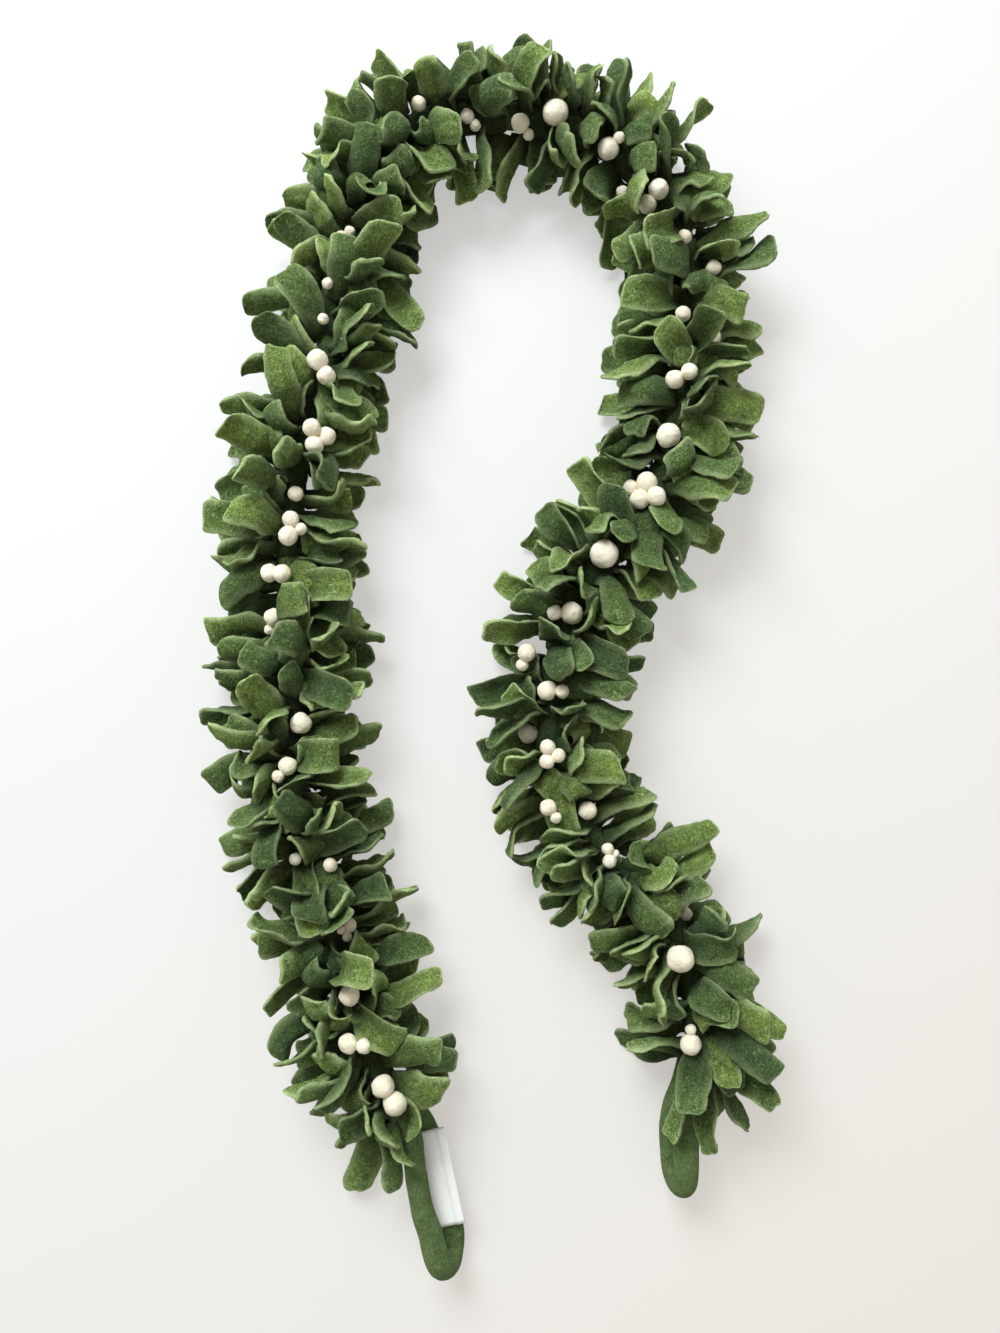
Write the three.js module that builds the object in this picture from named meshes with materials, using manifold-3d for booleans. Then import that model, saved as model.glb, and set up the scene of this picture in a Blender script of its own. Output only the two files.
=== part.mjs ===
// A felt mistletoe garland, laid on a table in an upside-down U.
// Millimetres. +Z is up, +Y points to the bend of the U, and the table top is z = 0.
//
// A wool-felt rope runs through the garland and is folded back into a hanging loop at each
// end. Leaves cut from thick felt are caught by their feet on sewn bands round the rope,
// and felt balls, the berries, are sewn on between them. A blank label hangs in one loop.

import * as THREE from 'three';
import { mergeVertices } from 'three/addons/utils/BufferGeometryUtils.js';
import Module from 'manifold-3d';

const wasm = await Module();
wasm.setup();

// ---- Driving sizes -------------------------------------------------------------------

const GAP = 0.3; // between pieces that touch
const ROPE_RADIUS = 9.6;
const CORE_SIDES = 8;
const LOOP_SIDES = 8;
const LOOP_STEPS = 24;
const CORE_HEIGHT = 33; // of the rope's middle over the table, where leaves carry it
const FELT = 3; // thickness of the leaf felt
const LEAF_LENGTH = 50;
const LEAF_WIDTH = 25;
const BUNCHES = 20;
const LEAVES = 380; // in the crowd, before those that would run into others are left out
const LEAFY_FROM = 14; // first and last stations of the leaves along the core
const LEAFY_TO_END = 20;
const BAND_LENGTH = 74;
const BAND_WALL = 2.4;
const ROOT_RADIUS = ROPE_RADIUS + GAP + 1.7; // where a leaf's foot starts, inside the band
const GOLDEN_ANGLE = 137.508; // degrees from one leaf to the next round the rope
const FAN = 0.78; // leaves keep to this share of the full turn, and leave the underside bare
const LOW_ANGLE = 105; // leaves that start lower than this turn flat to the table
const LOW_ROLL = 55; // and by this much
const TABLE_CLEAR = FELT / 2 + 0.6;
const SPINE_STEPS = 24;
const TOUCH = 0.005; // cubic mm of overlap that still counts as clear
const FOOT_REACH = 16; // from a leaf's own foot to the cell it grows from
const BERRY_REACH = 30; // from the core's middle to the first ball's, before it is seated
const SEAT_STEP = 0.2; // by which a cluster sinks until it rests on a leaf or on the band
const BALL_SEAT = 0.9; // balls in a cluster press into each other by the rest
const BALL_CORNER = 1.08; // a ball's corners stand out by this, to keep its real volume
const BERRY_STEP = 55; // degrees between the outer balls of a cluster
const VIEW_REACH = 24; // of a seated ball, about; no leaf grows over it higher than this
const VIEW_HEIGHT = 80;
const LABEL = { width: 26, length: 72, layer: 1, slit: 0.4, height: 18.6 };
const LABEL_CORNER = [-67, -347]; // end of the sewn edge, nearest the leaves
const LABEL_TURN = 12.5; // degrees from the Y axis
const JOINT_GAP = 0.6; // between the core's end and the loop sewn to it

// The route of the core's middle, from the labelled end round to the other: x, y.
const CORE_ROUTE = [
  [-70, -333], [-89, -298], [-108, -254], [-117, -207], [-130, -159], [-144, -112],
  [-152, -65], [-152, -17], [-149, 30], [-153, 78], [-154, 125], [-144, 172],
  [-128, 216], [-120, 263], [-109, 311], [-96, 351], [-73, 384], [-36, 398],
  [4, 401], [44, 395], [82, 378], [113, 347], [133, 307], [138, 263],
  [134, 220], [128, 176], [117, 136], [96, 100], [71, 70], [51, 38],
  [42, 1], [38, -39], [42, -83], [64, -126], [95, -159], [122, -188],
  [140, -225], [147, -265], [141, -305],
];

// Each hanging loop runs on from the core's end, folds back and is sewn on under it: x, y, z.
const LEFT_LOOP = [
  [-64.6, -343, 33], [-62.5, -362, 31.1], [-57, -396, 30.9], [-51, -414, 31.8],
  [-47, -427, 33.8], [-43, -437.5, 31], [-39, -441, 21.5], [-36.8, -438, 12], [-36, -429, 8.6],
  [-41, -402, 8.6], [-48, -373, 8.6], [-55, -351, 8.6], [-59.5, -341, 9.4], [-65.5, -330, 14],
];
const RIGHT_LOOP = [
  [139.1, -317.5, 33], [137, -336, 29.2], [136, -352, 31], [135.3, -367, 34.4],
  [134.5, -377, 31.5], [133, -381.5, 21.5], [131, -378, 12], [130, -368, 8.6],
  [129, -350, 8.6], [131, -330, 10.5], [136, -314, 14.4],
];

// ---- Small helpers -------------------------------------------------------------------

const UP = new THREE.Vector3(0, 0, 1);
const radians = THREE.MathUtils.degToRad;
const clamp = THREE.MathUtils.clamp;

// A plain seeded generator, so that the garland is the same on every build.
function randomFrom(seed) {
  let state = seed;
  return (spread) => {
    state = (Math.imul(state, 1664525) + 1013904223) >>> 0;
    return (2 * (state / 4294967296) - 1) * spread;
  };
}

// A closed body through rings of points, each ring turning the same way.
function loft(rings) {
  const count = rings[0].length;
  const last = (rings.length - 1) * count;
  const positions = rings.flat().flatMap((point) => point.toArray());
  const faces = [];
  for (let i = 0; i < rings.length - 1; i += 1) {
    for (let j = 0; j < count; j += 1) {
      const a = i * count + j;
      const b = i * count + ((j + 1) % count);
      faces.push(a, b, b + count, a, b + count, a + count);
    }
  }
  for (let j = 1; j < count - 1; j += 1) {
    faces.push(0, j + 1, j);
    faces.push(last, last + j, last + j + 1);
  }
  const geometry = new THREE.BufferGeometry();
  geometry.setAttribute('position', new THREE.Float32BufferAttribute(positions, 3));
  geometry.setIndex(faces);
  return geometry;
}

function toSolid(geometry) {
  const bare = geometry.clone();
  bare.deleteAttribute('normal');
  bare.deleteAttribute('uv');
  const merged = mergeVertices(bare, 1e-3);
  return new wasm.Manifold(
    new wasm.Mesh({
      numProp: 3,
      vertProperties: new Float32Array(merged.attributes.position.array),
      triVerts: new Uint32Array(merged.index.array),
    }),
  );
}

function fromSolid(solid) {
  const mesh = solid.getMesh();
  const geometry = new THREE.BufferGeometry();
  geometry.setAttribute('position', new THREE.BufferAttribute(mesh.vertProperties, 3));
  geometry.setIndex(new THREE.BufferAttribute(mesh.triVerts, 1));
  return geometry;
}

const joined = (solids) => solids.reduce((sum, solid) => sum.add(solid));

// ---- The core's route ----------------------------------------------------------------

const flat = ([x, y]) => new THREE.Vector3(x, y, CORE_HEIGHT);
const route = new THREE.CatmullRomCurve3(CORE_ROUTE.map(flat), false, 'catmullrom', 0.5);
route.arcLengthDivisions = 3000;
const CORE_LENGTH = route.getLength();

// Where the core is at a station, which way it runs, and which way is to its right.
function coreAt(station) {
  const share = clamp(station / CORE_LENGTH, 0, 1);
  const along = route.getTangentAt(share).setZ(0).normalize();
  return { middle: route.getPointAt(share), along, side: along.clone().cross(UP) };
}

// A ring of the rope, flat side down, at a station.
function ropeRing({ middle, along, side }, radius) {
  const up = side.clone().cross(along);
  return Array.from({ length: CORE_SIDES }, (_, j) => {
    const turn = (2 * Math.PI * (j + 0.5)) / CORE_SIDES;
    return middle
      .clone()
      .addScaledVector(side, radius * Math.sin(turn))
      .addScaledVector(up, radius * Math.cos(turn));
  });
}

// ---- Leaves --------------------------------------------------------------------------
// angle: round the rope from straight up, to the right when positive (degrees)
// lean: along the core from square to it; roll: of the blade about its own length
// bend: curl along the blade; twist: from foot to tip; sag: how far its weight turns it

const BUNCH_PITCH = (CORE_LENGTH - LEAFY_FROM - LEAFY_TO_END) / BUNCHES;

// Leaves that stand out of the crowd.
// station, angle, length, width, lean, roll, bend, tip
const STANDOUTS = [
  [15, -115, 78, 30, -40, 8, 0, 0.55],
  [15, -130, 71, 22, -60, 8, 0, 0.4],
  [33, 55, 41, 28, -30, 20, 0, 0.7],
  [52, 95, 53, 24, -35, 20, 0, 0.5],
  [71, -110, 65, 24, -25, 10, 0, 0.5],
  [92, 85, 60, 22, 5, 40, 0, 0.5],
  [96, -75, 54, 26, -15, 15, 0, 0.7],
  [128, 90, 55, 24, 0, 30, 0, 0.5],
  [136, -80, 57, 22, -25, 40, 10, 0.4],
  [170, -95, 52, 20, -15, 60, 0, 0.4],
  [240, -100, 67, 26, -15, -10, 0, 0.5],
  [491, -90, 47, 24, -35, 30, 0, 0.4],
  [506, 80, 47, 26, 25, 30, 0, 0.45],
  [533, -80, 52, 22, -20, 60, 0, 0.5],
  [568, 95, 43, 22, 30, 40, 0, 0.5],
  [635, -60, 51, 24, 35, 40, 0, 0.5],
  [650, 85, 65, 24, -35, 20, 0, 0.5],
  [664, -50, 51, 22, 55, 60, 0, 0.4],
  [672, 60, 44, 24, 15, 30, 0, 0.5],
  [723, -35, 42, 22, 25, 80, -30, 0.4],
  [745, -20, 40, 28, 15, 20, 0, 0.6],
  [779, -25, 39, 26, -5, 30, 0, 0.6],
  [787, 135, 45, 24, -50, 10, 0, 0.4],
  [802, -35, 40, 24, 0, 55, 0, 0.5],
  [823, -35, 36, 24, -5, 60, 10, 0.5],
  [865, -35, 40, 18, -20, 85, 15, 0.3],
  [884, -30, 41, 22, -15, 70, 0, 0.45],
  [892, 120, 50, 22, 30, 15, 0, 0.3],
  [910, -35, 50, 18, -20, 85, 0, 0.4],
  [923, -40, 50, 18, 0, 80, 0, 0.3],
  [936, 110, 60, 24, 30, 30, 0, 0.6],
  [955, -75, 44, 30, 40, 15, 0, 0.4],
  [977, 85, 53, 26, 50, 20, 0, 0.5],
  [994, -85, 36, 26, 25, 30, 0, 0.5],
  [1054, -80, 46, 26, 30, 20, 0, 0.5],
  [1090, -90, 57, 26, 40, 20, 0, 0.4],
  [1165, -80, 52, 26, -10, 25, 0, 0.4],
  [1289, 90, 48, 24, 0, 35, 0, 0.5],
  [1299, 115, 49, 24, 30, -15, 0, 0.5],
  [1333, -75, 48, 26, 5, 20, 0, 0.45],
  [1340, 70, 54, 26, 25, 20, 20, 0.55],
  [1366, 80, 44, 24, 30, 80, 20, 0.4],
  [1497, -85, 67, 24, 20, 25, 0, 0.35],
  [1541, -95, 66, 22, 15, 60, 0, 0.45],
  [1548, -85, 65, 24, 20, 30, 0, 0.45],
  [1599, -90, 64, 24, 50, 30, 0, 0.35],
  [1635, -115, 64, 22, 40, 10, 0, 0.4],
  [1643, -120, 64, 24, 55, 15, 0, 0.35],
  [1645, 140, 78, 20, 75, 20, 0, 0.45],
  [1652, -25, 41, 20, 75, 30, 0, 0.5],
].map(([station, angle, length, width, lean, roll, bend, tip]) => (
  { station, angle, length, width, lean, roll, bend, tip, twist: 0, sag: 6 }
));

// Leaves that lie or curl over the top of the rope: station, angle, lean, roll, bend.
const TOP_LEAVES = [
  [20, 40, -45, 60, 20], [55, 50, -20, 0, 30], [68, -15, -35, 20, -50], [100, 30, -35, 25, 35],
  [122, 0, 10, 20, 75], [176, 5, -60, 80, 15], [205, -15, -55, 90, 20], [217, 30, -5, -10, 60],
  [232, 25, 0, 10, -95], [262, -10, -10, 10, 90], [281, 20, 5, 5, 70], [340, 35, -8, 15, 45],
  [365, 35, 0, 5, -100], [388, -20, 5, 0, 90], [402, 30, 0, 0, 50], [420, -45, -10, -20, -50],
  [447, -5, 8, 0, -70], [450, -45, 5, 0, -40], [480, -15, 0, 0, -15], [482, 10, -40, 40, 30],
  [500, -35, 5, 10, -30], [542, 5, -45, 80, 25], [590, -25, 40, 30, -40], [612, -40, 15, 10, -40],
  [615, 15, 55, 80, -10], [630, -20, 45, 75, -20], [632, 40, 45, 60, 0], [675, -30, 45, 45, -15],
  [690, -5, 50, 85, -15], [690, 35, 50, 75, -10], [985, 15, 20, 20, 40], [1000, 50, 5, 10, 10],
  [1000, -15, -45, 70, 10], [1020, 15, 0, 0, 60], [1042, 40, 5, 10, 40], [1042, -15, 5, 10, -60],
  [1112, 25, 0, 10, 110], [1116, -30, 0, 0, -110], [1175, -30, -15, 15, -45],
  [1205, -20, 35, 40, -40], [1310, -30, 10, 10, -50], [1402, -30, 0, 10, -45],
  [1405, 10, 50, 75, -20], [1440, 25, 0, 0, 60], [1465, -20, 25, 45, -30], [1500, 15, 45, 80, -10],
  [1535, -10, 25, 20, -50], [1560, -20, 15, 20, -60], [1560, 40, 35, 40, 20],
  [1572, -25, 15, 20, -70], [1590, 10, 50, 80, -15], [1600, -30, 25, 25, -40],
  [1632, 20, 55, 80, -10],
].map(([station, angle, lean, roll, bend]) => (
  { station, angle, length: 52, width: 27, lean, roll, bend, twist: 0, sag: 10, tip: 0.7 }
));

// Berry clusters: station and angle round the rope of the first ball, the direction of the
// second from it (degrees from along the rope to its right), and the balls' diameters.
const BERRIES = [
  [38, 15, 172, [16, 17]], [77, -5, 118, [14, 11]], [109, 15, 0, [15]],
  [154, 50, -150, [11, 7, 6]], [200, 35, 0, [10]], [211, -25, 0, [9]],
  [277, 5, -131, [13, 9]], [307, 30, 0, [15]], [383, -35, -154, [13, 8]],
  [415, -30, 99, [13, 13]], [451, 15, 135, [12, 9, 14]], [471, 25, 0, [11]],
  [520, 25, 100, [13, 13, 13]], [567, 0, 136, [15, 13]], [659, -10, 51, [8, 8]],
  [799, 25, 52, [10, 8]], [839, 40, 46, [13, 8]], [864, 10, 0, [18]],
  [912, 30, -76, [15, 8]], [961, 15, 72, [14, 13]], [1057, 20, 0, [11]],
  [1105, 20, -122, [13, 12]], [1145, 15, 0, [17]], [1183, 25, -60, [15, 14, 14, 11]],
  [1244, 10, 0, [20]], [1291, 0, 68, [16, 11]], [1324, 55, 18, [13, 9]],
  [1348, 15, -93, [14, 10]], [1379, 80, 0, [14]], [1387, 10, -50, [11, 10, 11]],
  [1426, 30, -16, [12, 8]], [1441, -35, 0, [13]], [1474, -25, -17, [9, 6, 10]],
  [1548, -90, 0, [10]], [1565, 10, 0, [19]], [1633, 30, 177, [15, 8]],
].map(([station, angle, turn, balls]) => ({ station, angle, turn, balls, reach: BERRY_REACH }));

// Small changes that a leaf may take to clear its neighbours, in the order they are tried.
const CHANGES = [
  {}, { roll: 18 }, { roll: -18 }, { lean: 9 }, { lean: -9 }, { angle: 8 }, { angle: -8 },
  { roll: 35 }, { roll: -35 }, { lean: 16 }, { lean: -16 }, { length: -8, lean: 8 },
  { length: -8, lean: -8 }, { length: -8, roll: 25 }, { length: -8, roll: -25 },
];

const bunchOf = (station) =>
  clamp(Math.floor((station - LEAFY_FROM) / BUNCH_PITCH), 0, BUNCHES - 1);
const bunchMiddle = (bunch) => LEAFY_FROM + (bunch + 0.5) * BUNCH_PITCH;

// Leaves part round the berries, so that each cluster can be seen.
function partedFromBerries(leaf) {
  const parted = { ...leaf };
  for (const berry of BERRIES) {
    const off = leaf.station - berry.station;
    const round = leaf.angle - berry.angle;
    if (Math.abs(off) < 17 && Math.abs(round) < 42) {
      parted.angle = berry.angle + (round < 0 ? -42 : 42);
      parted.lean += off < 0 ? -10 : 10;
    }
  }
  return parted;
}

function crowdLeaves() {
  const random = randomFrom(4127);
  const step = (CORE_LENGTH - LEAFY_FROM - LEAFY_TO_END) / LEAVES;
  const leaves = [];
  for (let i = 0; i < LEAVES; i += 1) {
    const turn = (i * GOLDEN_ANGLE + 180) % 360;
    const leaf = {
      station: LEAFY_FROM + (i + 0.5) * step,
      angle: (turn - 180) * FAN + random(8),
      length: LEAF_LENGTH * (1 + random(0.14)),
      width: LEAF_WIDTH * (1 + random(0.12)),
      lean: random(20),
      roll: 62 + random(28),
      bend: random(25),
      twist: random(26),
      sag: 20,
      tip: 0.6 + random(0.2),
    };
    const upright = Math.max(0, 1 - Math.abs(leaf.angle) / 70);
    leaf.bend += (leaf.bend < 0 ? -65 : 65) * upright;
    if (Math.abs(leaf.angle) > LOW_ANGLE) leaf.roll -= LOW_ROLL;
    const crowded = [...STANDOUTS, ...TOP_LEAVES].some(
      (other) =>
        Math.abs(other.station - leaf.station) < 9 && Math.abs(other.angle - leaf.angle) < 28,
    );
    if (!crowded) leaves.push(partedFromBerries(leaf));
  }
  return leaves;
}

// The blade's middle line from foot to tip, with its width and face directions.
function leafSpine(leaf) {
  const { middle, along, side } = coreAt(leaf.station);
  const angle = radians(leaf.angle);
  const lean = radians(leaf.lean);
  const roll = radians(leaf.roll);
  const out = UP.clone().multiplyScalar(Math.cos(angle)).addScaledVector(side, Math.sin(angle));
  const round = side.clone().multiplyScalar(Math.cos(angle)).addScaledVector(UP, -Math.sin(angle));
  const dir = out.clone().multiplyScalar(Math.cos(lean)).addScaledVector(along, Math.sin(lean));
  const cross = along.clone().multiplyScalar(Math.cos(lean)).addScaledVector(out, -Math.sin(lean));
  const wide = cross.multiplyScalar(Math.cos(roll)).addScaledVector(round, Math.sin(roll));
  const face = dir.clone().cross(wide);
  const point = middle.clone().addScaledVector(out, ROOT_RADIUS);
  const step = leaf.length / SPINE_STEPS;
  const turnAll = (axis, by) => [dir, wide, face].forEach((v) => v.applyAxisAngle(axis, by));
  const spine = [];
  for (let i = 0; i <= SPINE_STEPS; i += 1) {
    spine.push({ point: point.clone(), wide: wide.clone(), face: face.clone() });
    turnAll(wide.clone(), radians(leaf.bend) / SPINE_STEPS);
    turnAll(dir.clone(), radians(leaf.twist) / SPINE_STEPS);
    const level = dir.clone().cross(UP);
    const slope = level.length();
    if (slope > 1e-6) turnAll(level.normalize(), (-radians(leaf.sag) * slope) / SPINE_STEPS);
    if (point.z + dir.z * step < TABLE_CLEAR && dir.z < 0) {
      const flatten = dir.clone().cross(UP).normalize();
      turnAll(flatten, Math.asin(clamp(-dir.z, 0, 1)));
      const edgeUp = Math.asin(clamp(wide.z, -1, 1));
      turnAll(dir.clone(), clamp(-edgeUp * Math.sign(face.z || 1), -0.2, 0.2));
    }
    point.addScaledVector(dir, step);
  }
  return spine;
}

// Half width of the blade at a share of its length, as a share of its full width.
function leafOutline(at, tip) {
  const foot = 0.24 + 0.26 * Math.min(at / 0.4, 1);
  const shoulder = at > 0.6 ? (at - 0.6) / 0.4 : 0;
  return foot * (1 - (1 - tip) * shoulder ** 2);
}

// Rings of corners along a blade, above its foot; the tip closes to an edge. fatter adds
// to the blade all round.
function bladeRings(leaf, fatter = 0) {
  const shares = Math.abs(leaf.angle) < 80 ? [0.34, 0.7, 1] : [0.45, 1];
  const spine = leafSpine(leaf);
  return shares.map((at) => {
    const { point, wide, face } = spine[Math.round(at * SPINE_STEPS)];
    const half = leaf.width * leafOutline(at, leaf.tip) + fatter;
    const thick = at === 1 ? 0 : FELT / 2 + fatter;
    const lowest = half * Math.abs(wide.z) + thick * Math.abs(face.z) - fatter;
    const middle = point.clone().setZ(Math.max(point.z, lowest));
    if (at === 1) middle.addScaledVector(wide.clone().cross(face), fatter);
    return [[1, 1], [-1, 1], [-1, -1], [1, -1]].map(([w, f]) =>
      middle.clone().addScaledVector(wide, w * half).addScaledVector(face, f * thick),
    );
  });
}

// Rings turned so that their corners follow on from those of the leaf's foot.
function turnedTo(foot, rings) {
  const miss = (turn) =>
    foot.reduce((sum, corner, k) => sum + corner.distanceTo(rings[0][(k + turn) % 4]), 0);
  const best = [0, 1, 2, 3].reduce((a, b) => (miss(b) < miss(a) ? b : a));
  return rings.map((ring) => ring.map((_, k) => ring[(k + best) % 4]));
}

// One leaf as a body of its own, from its foot to its tip.
const leafSolid = (leaf, foot, fatter = 0) =>
  toSolid(loft([foot, ...turnedTo(foot, bladeRings(leaf, fatter))]));

// ---- Berries -------------------------------------------------------------------------

// The middles and radii of a cluster's balls.
function ballsOf(berry) {
  const { middle, along, side } = coreAt(berry.station);
  const angle = radians(berry.angle);
  const out = UP.clone().multiplyScalar(Math.cos(angle)).addScaledVector(side, Math.sin(angle));
  const round = side.clone().multiplyScalar(Math.cos(angle)).addScaledVector(UP, -Math.sin(angle));
  const first = middle.clone().addScaledVector(out, berry.reach);
  return berry.balls.map((diameter, i) => {
    const turn = radians(berry.turn + BERRY_STEP * (i - 1));
    const apart = i === 0 ? 0 : (BALL_SEAT * (berry.balls[0] + diameter)) / 2;
    const spot = first
      .clone()
      .addScaledVector(along, apart * Math.cos(turn))
      .addScaledVector(round, apart * Math.sin(turn));
    return { spot, radius: diameter / 2 };
  });
}

// The balls as twenty-sided solids; each outer one points a corner at the first, to join it.
function berrySolid(berry, fatter = 0) {
  const balls = ballsOf(berry);
  const corner = new THREE.Vector3(0, 1, (1 + Math.sqrt(5)) / 2).normalize();
  return joined(
    balls.map(({ spot, radius }, i) => {
      const ball = new THREE.IcosahedronGeometry(BALL_CORNER * radius + fatter, 0);
      const inward = balls[0].spot.clone().sub(spot).normalize();
      if (i > 0) ball.applyQuaternion(new THREE.Quaternion().setFromUnitVectors(corner, inward));
      return toSolid(ball.translate(spot.x, spot.y, spot.z));
    }),
  );
}

// The room over each ball of a cluster, so that the leaves leave it in sight from above.
function berryView(berry) {
  return joined(
    ballsOf({ ...berry, reach: VIEW_REACH }).map(({ spot, radius }) => {
      const column = new THREE.CylinderGeometry(radius, radius, VIEW_HEIGHT, 8);
      column.rotateX(Math.PI / 2).translate(spot.x, spot.y, spot.z + VIEW_HEIGHT / 2);
      return toSolid(column);
    }),
  );
}

// ---- Rope, loops and label -----------------------------------------------------------

const bandStations = (bunch) =>
  [-0.5, 0, 0.5].map((share) => bunchMiddle(bunch) + share * BAND_LENGTH);

function coreGeometry() {
  const stations = [0];
  for (let bunch = 0; bunch < BUNCHES; bunch += 1) stations.push(...bandStations(bunch));
  stations.push(CORE_LENGTH);
  return loft(stations.map((station) => ropeRing(coreAt(station), ROPE_RADIUS)));
}

// A hanging loop: rope folded back on itself and laid on the table.
function loopSolid(station, points, fatter = 0) {
  const { middle, along } = coreAt(station);
  const outward = station > 0 ? JOINT_GAP : -JOINT_GAP;
  const start = middle.addScaledVector(along, outward);
  const path = new THREE.CatmullRomCurve3([start, ...points.map((p) => new THREE.Vector3(...p))]);
  const corners = Array.from({ length: LOOP_SIDES }, (_, j) => {
    const turn = (2 * Math.PI * (j + 0.5)) / LOOP_SIDES;
    const radius = ROPE_RADIUS + fatter;
    return new THREE.Vector2(radius * Math.cos(turn), radius * Math.sin(turn));
  });
  const section = new THREE.Shape(corners);
  return toSolid(new THREE.ExtrudeGeometry(section, { steps: LOOP_STEPS, extrudePath: path }));
}

// The label, folded along its length with both edges caught under the loop's upper run.
function labelSolid(fatter = 0) {
  const { width, length, layer, slit, height } = LABEL;
  const thick = 2 * layer + slit;
  const shape = new THREE.Shape();
  const low = -fatter;
  const high = thick + fatter;
  if (fatter > 0) {
    shape.moveTo(-fatter, low);
    shape.lineTo(width + fatter, low);
    shape.lineTo(width + fatter, high);
    shape.lineTo(-fatter, high);
  } else {
    shape.moveTo(0, 0);
    shape.lineTo(width - thick / 2, 0);
    shape.absarc(width - thick / 2, thick / 2, thick / 2, -Math.PI / 2, Math.PI / 2);
    shape.lineTo(0, thick);
    shape.lineTo(0, thick - layer);
    shape.lineTo(width - thick / 2, thick - layer);
    shape.absarc(width - thick / 2, thick / 2, slit / 2, Math.PI / 2, -Math.PI / 2, true);
    shape.lineTo(0, layer);
  }
  const strip = new THREE.ExtrudeGeometry(shape, {
    depth: length + 2 * fatter,
    bevelEnabled: false,
    curveSegments: 4,
  });
  strip.translate(0, 0, -fatter).rotateX(Math.PI / 2);
  strip.rotateZ(radians(LABEL_TURN));
  return toSolid(strip.translate(...LABEL_CORNER, height));
}

// ---- Bunches -------------------------------------------------------------------------
// A felt band is sewn round the rope for each bunch. Its outside is laid out in cells, a
// side of the rope wide, and each leaf grows from the cell nearest to its foot.

const halfway = (ringA, ringB) => ringA.map((point, j) => point.clone().lerp(ringB[j], 0.5));
const next = (j) => (j + 1) % CORE_SIDES;

function bandRings(bunch, radius) {
  return bandStations(bunch).map((station) => ropeRing(coreAt(station), radius));
}

// Rings twice as close, for the cells.
function cellRings(bunch) {
  const [from, middle, to] = bandRings(bunch, ROPE_RADIUS + GAP + BAND_WALL);
  return [from, halfway(from, middle), middle, halfway(middle, to), to];
}

// The cells that leaves may grow from: all but those under the rope.
function freeCells(bunch) {
  const rings = cellRings(bunch);
  const cells = [];
  for (let row = 0; row < rings.length - 1; row += 1) {
    for (let j = 0; j < CORE_SIDES; j += 1) {
      const corners = [
        rings[row][j], rings[row][next(j)], rings[row + 1][next(j)], rings[row + 1][j],
      ];
      const middle = corners[0].clone().lerp(corners[2], 0.5);
      if (middle.z > CORE_HEIGHT - 0.9 * ROPE_RADIUS) cells.push({ row, j, corners, middle });
    }
  }
  return cells;
}

const boxesMeet = (a, b) => [0, 1, 2].every((k) => a.min[k] <= b.max[k] && b.min[k] <= a.max[k]);

const meets = (solid, others) =>
  others.some(
    (other) =>
      boxesMeet(solid.boundingBox(), other.boundingBox()) &&
      solid.intersect(other).volume() > TOUCH,
  );

// The bands, with room round them.
const bandSolids = Array.from({ length: BUNCHES }, (_, bunch) =>
  toSolid(loft(bandRings(bunch, ROPE_RADIUS + 2 * GAP + BAND_WALL))),
);

// Each leaf in its cell, leaving out those that would run into what is there already.
function plantLeaves(keepOut) {
  const cells = bandSolids.map((_, bunch) => freeCells(bunch));
  const planted = bandSolids.map(() => []);
  for (const leaf of [...STANDOUTS, ...TOP_LEAVES, ...crowdLeaves()]) {
    const bunch = bunchOf(leaf.station);
    const root = leafSpine(leaf)[0].point;
    const free = cells[bunch].filter((cell) => !cell.leaf);
    free.sort((a, b) => a.middle.distanceTo(root) - b.middle.distanceTo(root));
    const neighbours = planted.flatMap((rows, other) =>
      other === bunch || Math.abs(other - bunch) > 2 ? [] : rows.map((row) => row.fat),
    );
    const otherBands = bandSolids.filter((_, other) => other !== bunch);
    const own = planted[bunch].map((row) => row.solid);
    for (const change of CHANGES) {
      const tried = { ...leaf };
      for (const key of Object.keys(change)) tried[key] += change[key];
      const cell = free[0];
      if (!cell || cell.middle.distanceTo(root) > FOOT_REACH) break;
      const solid = leafSolid(tried, cell.corners);
      const hit = meets(solid, [...neighbours, ...own, ...keepOut, ...otherBands]);
      if (!hit) {
        cell.leaf = tried;
        planted[bunch].push({ solid, fat: leafSolid(tried, cell.corners, GAP) });
        break;
      }
    }
  }
  return { cells, leafSolids: planted.flat().map((row) => row.solid) };
}

// Each cluster sinks towards the rope until it rests on what is under it.
function seatBerries(carriers) {
  BERRIES.forEach((berry) => {
    const others = BERRIES.filter((other) => other !== berry).map((other) => berrySolid(other));
    const lower = () => ({ ...berry, reach: berry.reach - SEAT_STEP });
    while (!meets(berrySolid(lower(), GAP), [...carriers, ...others])) berry.reach -= SEAT_STEP;
  });
}

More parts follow.
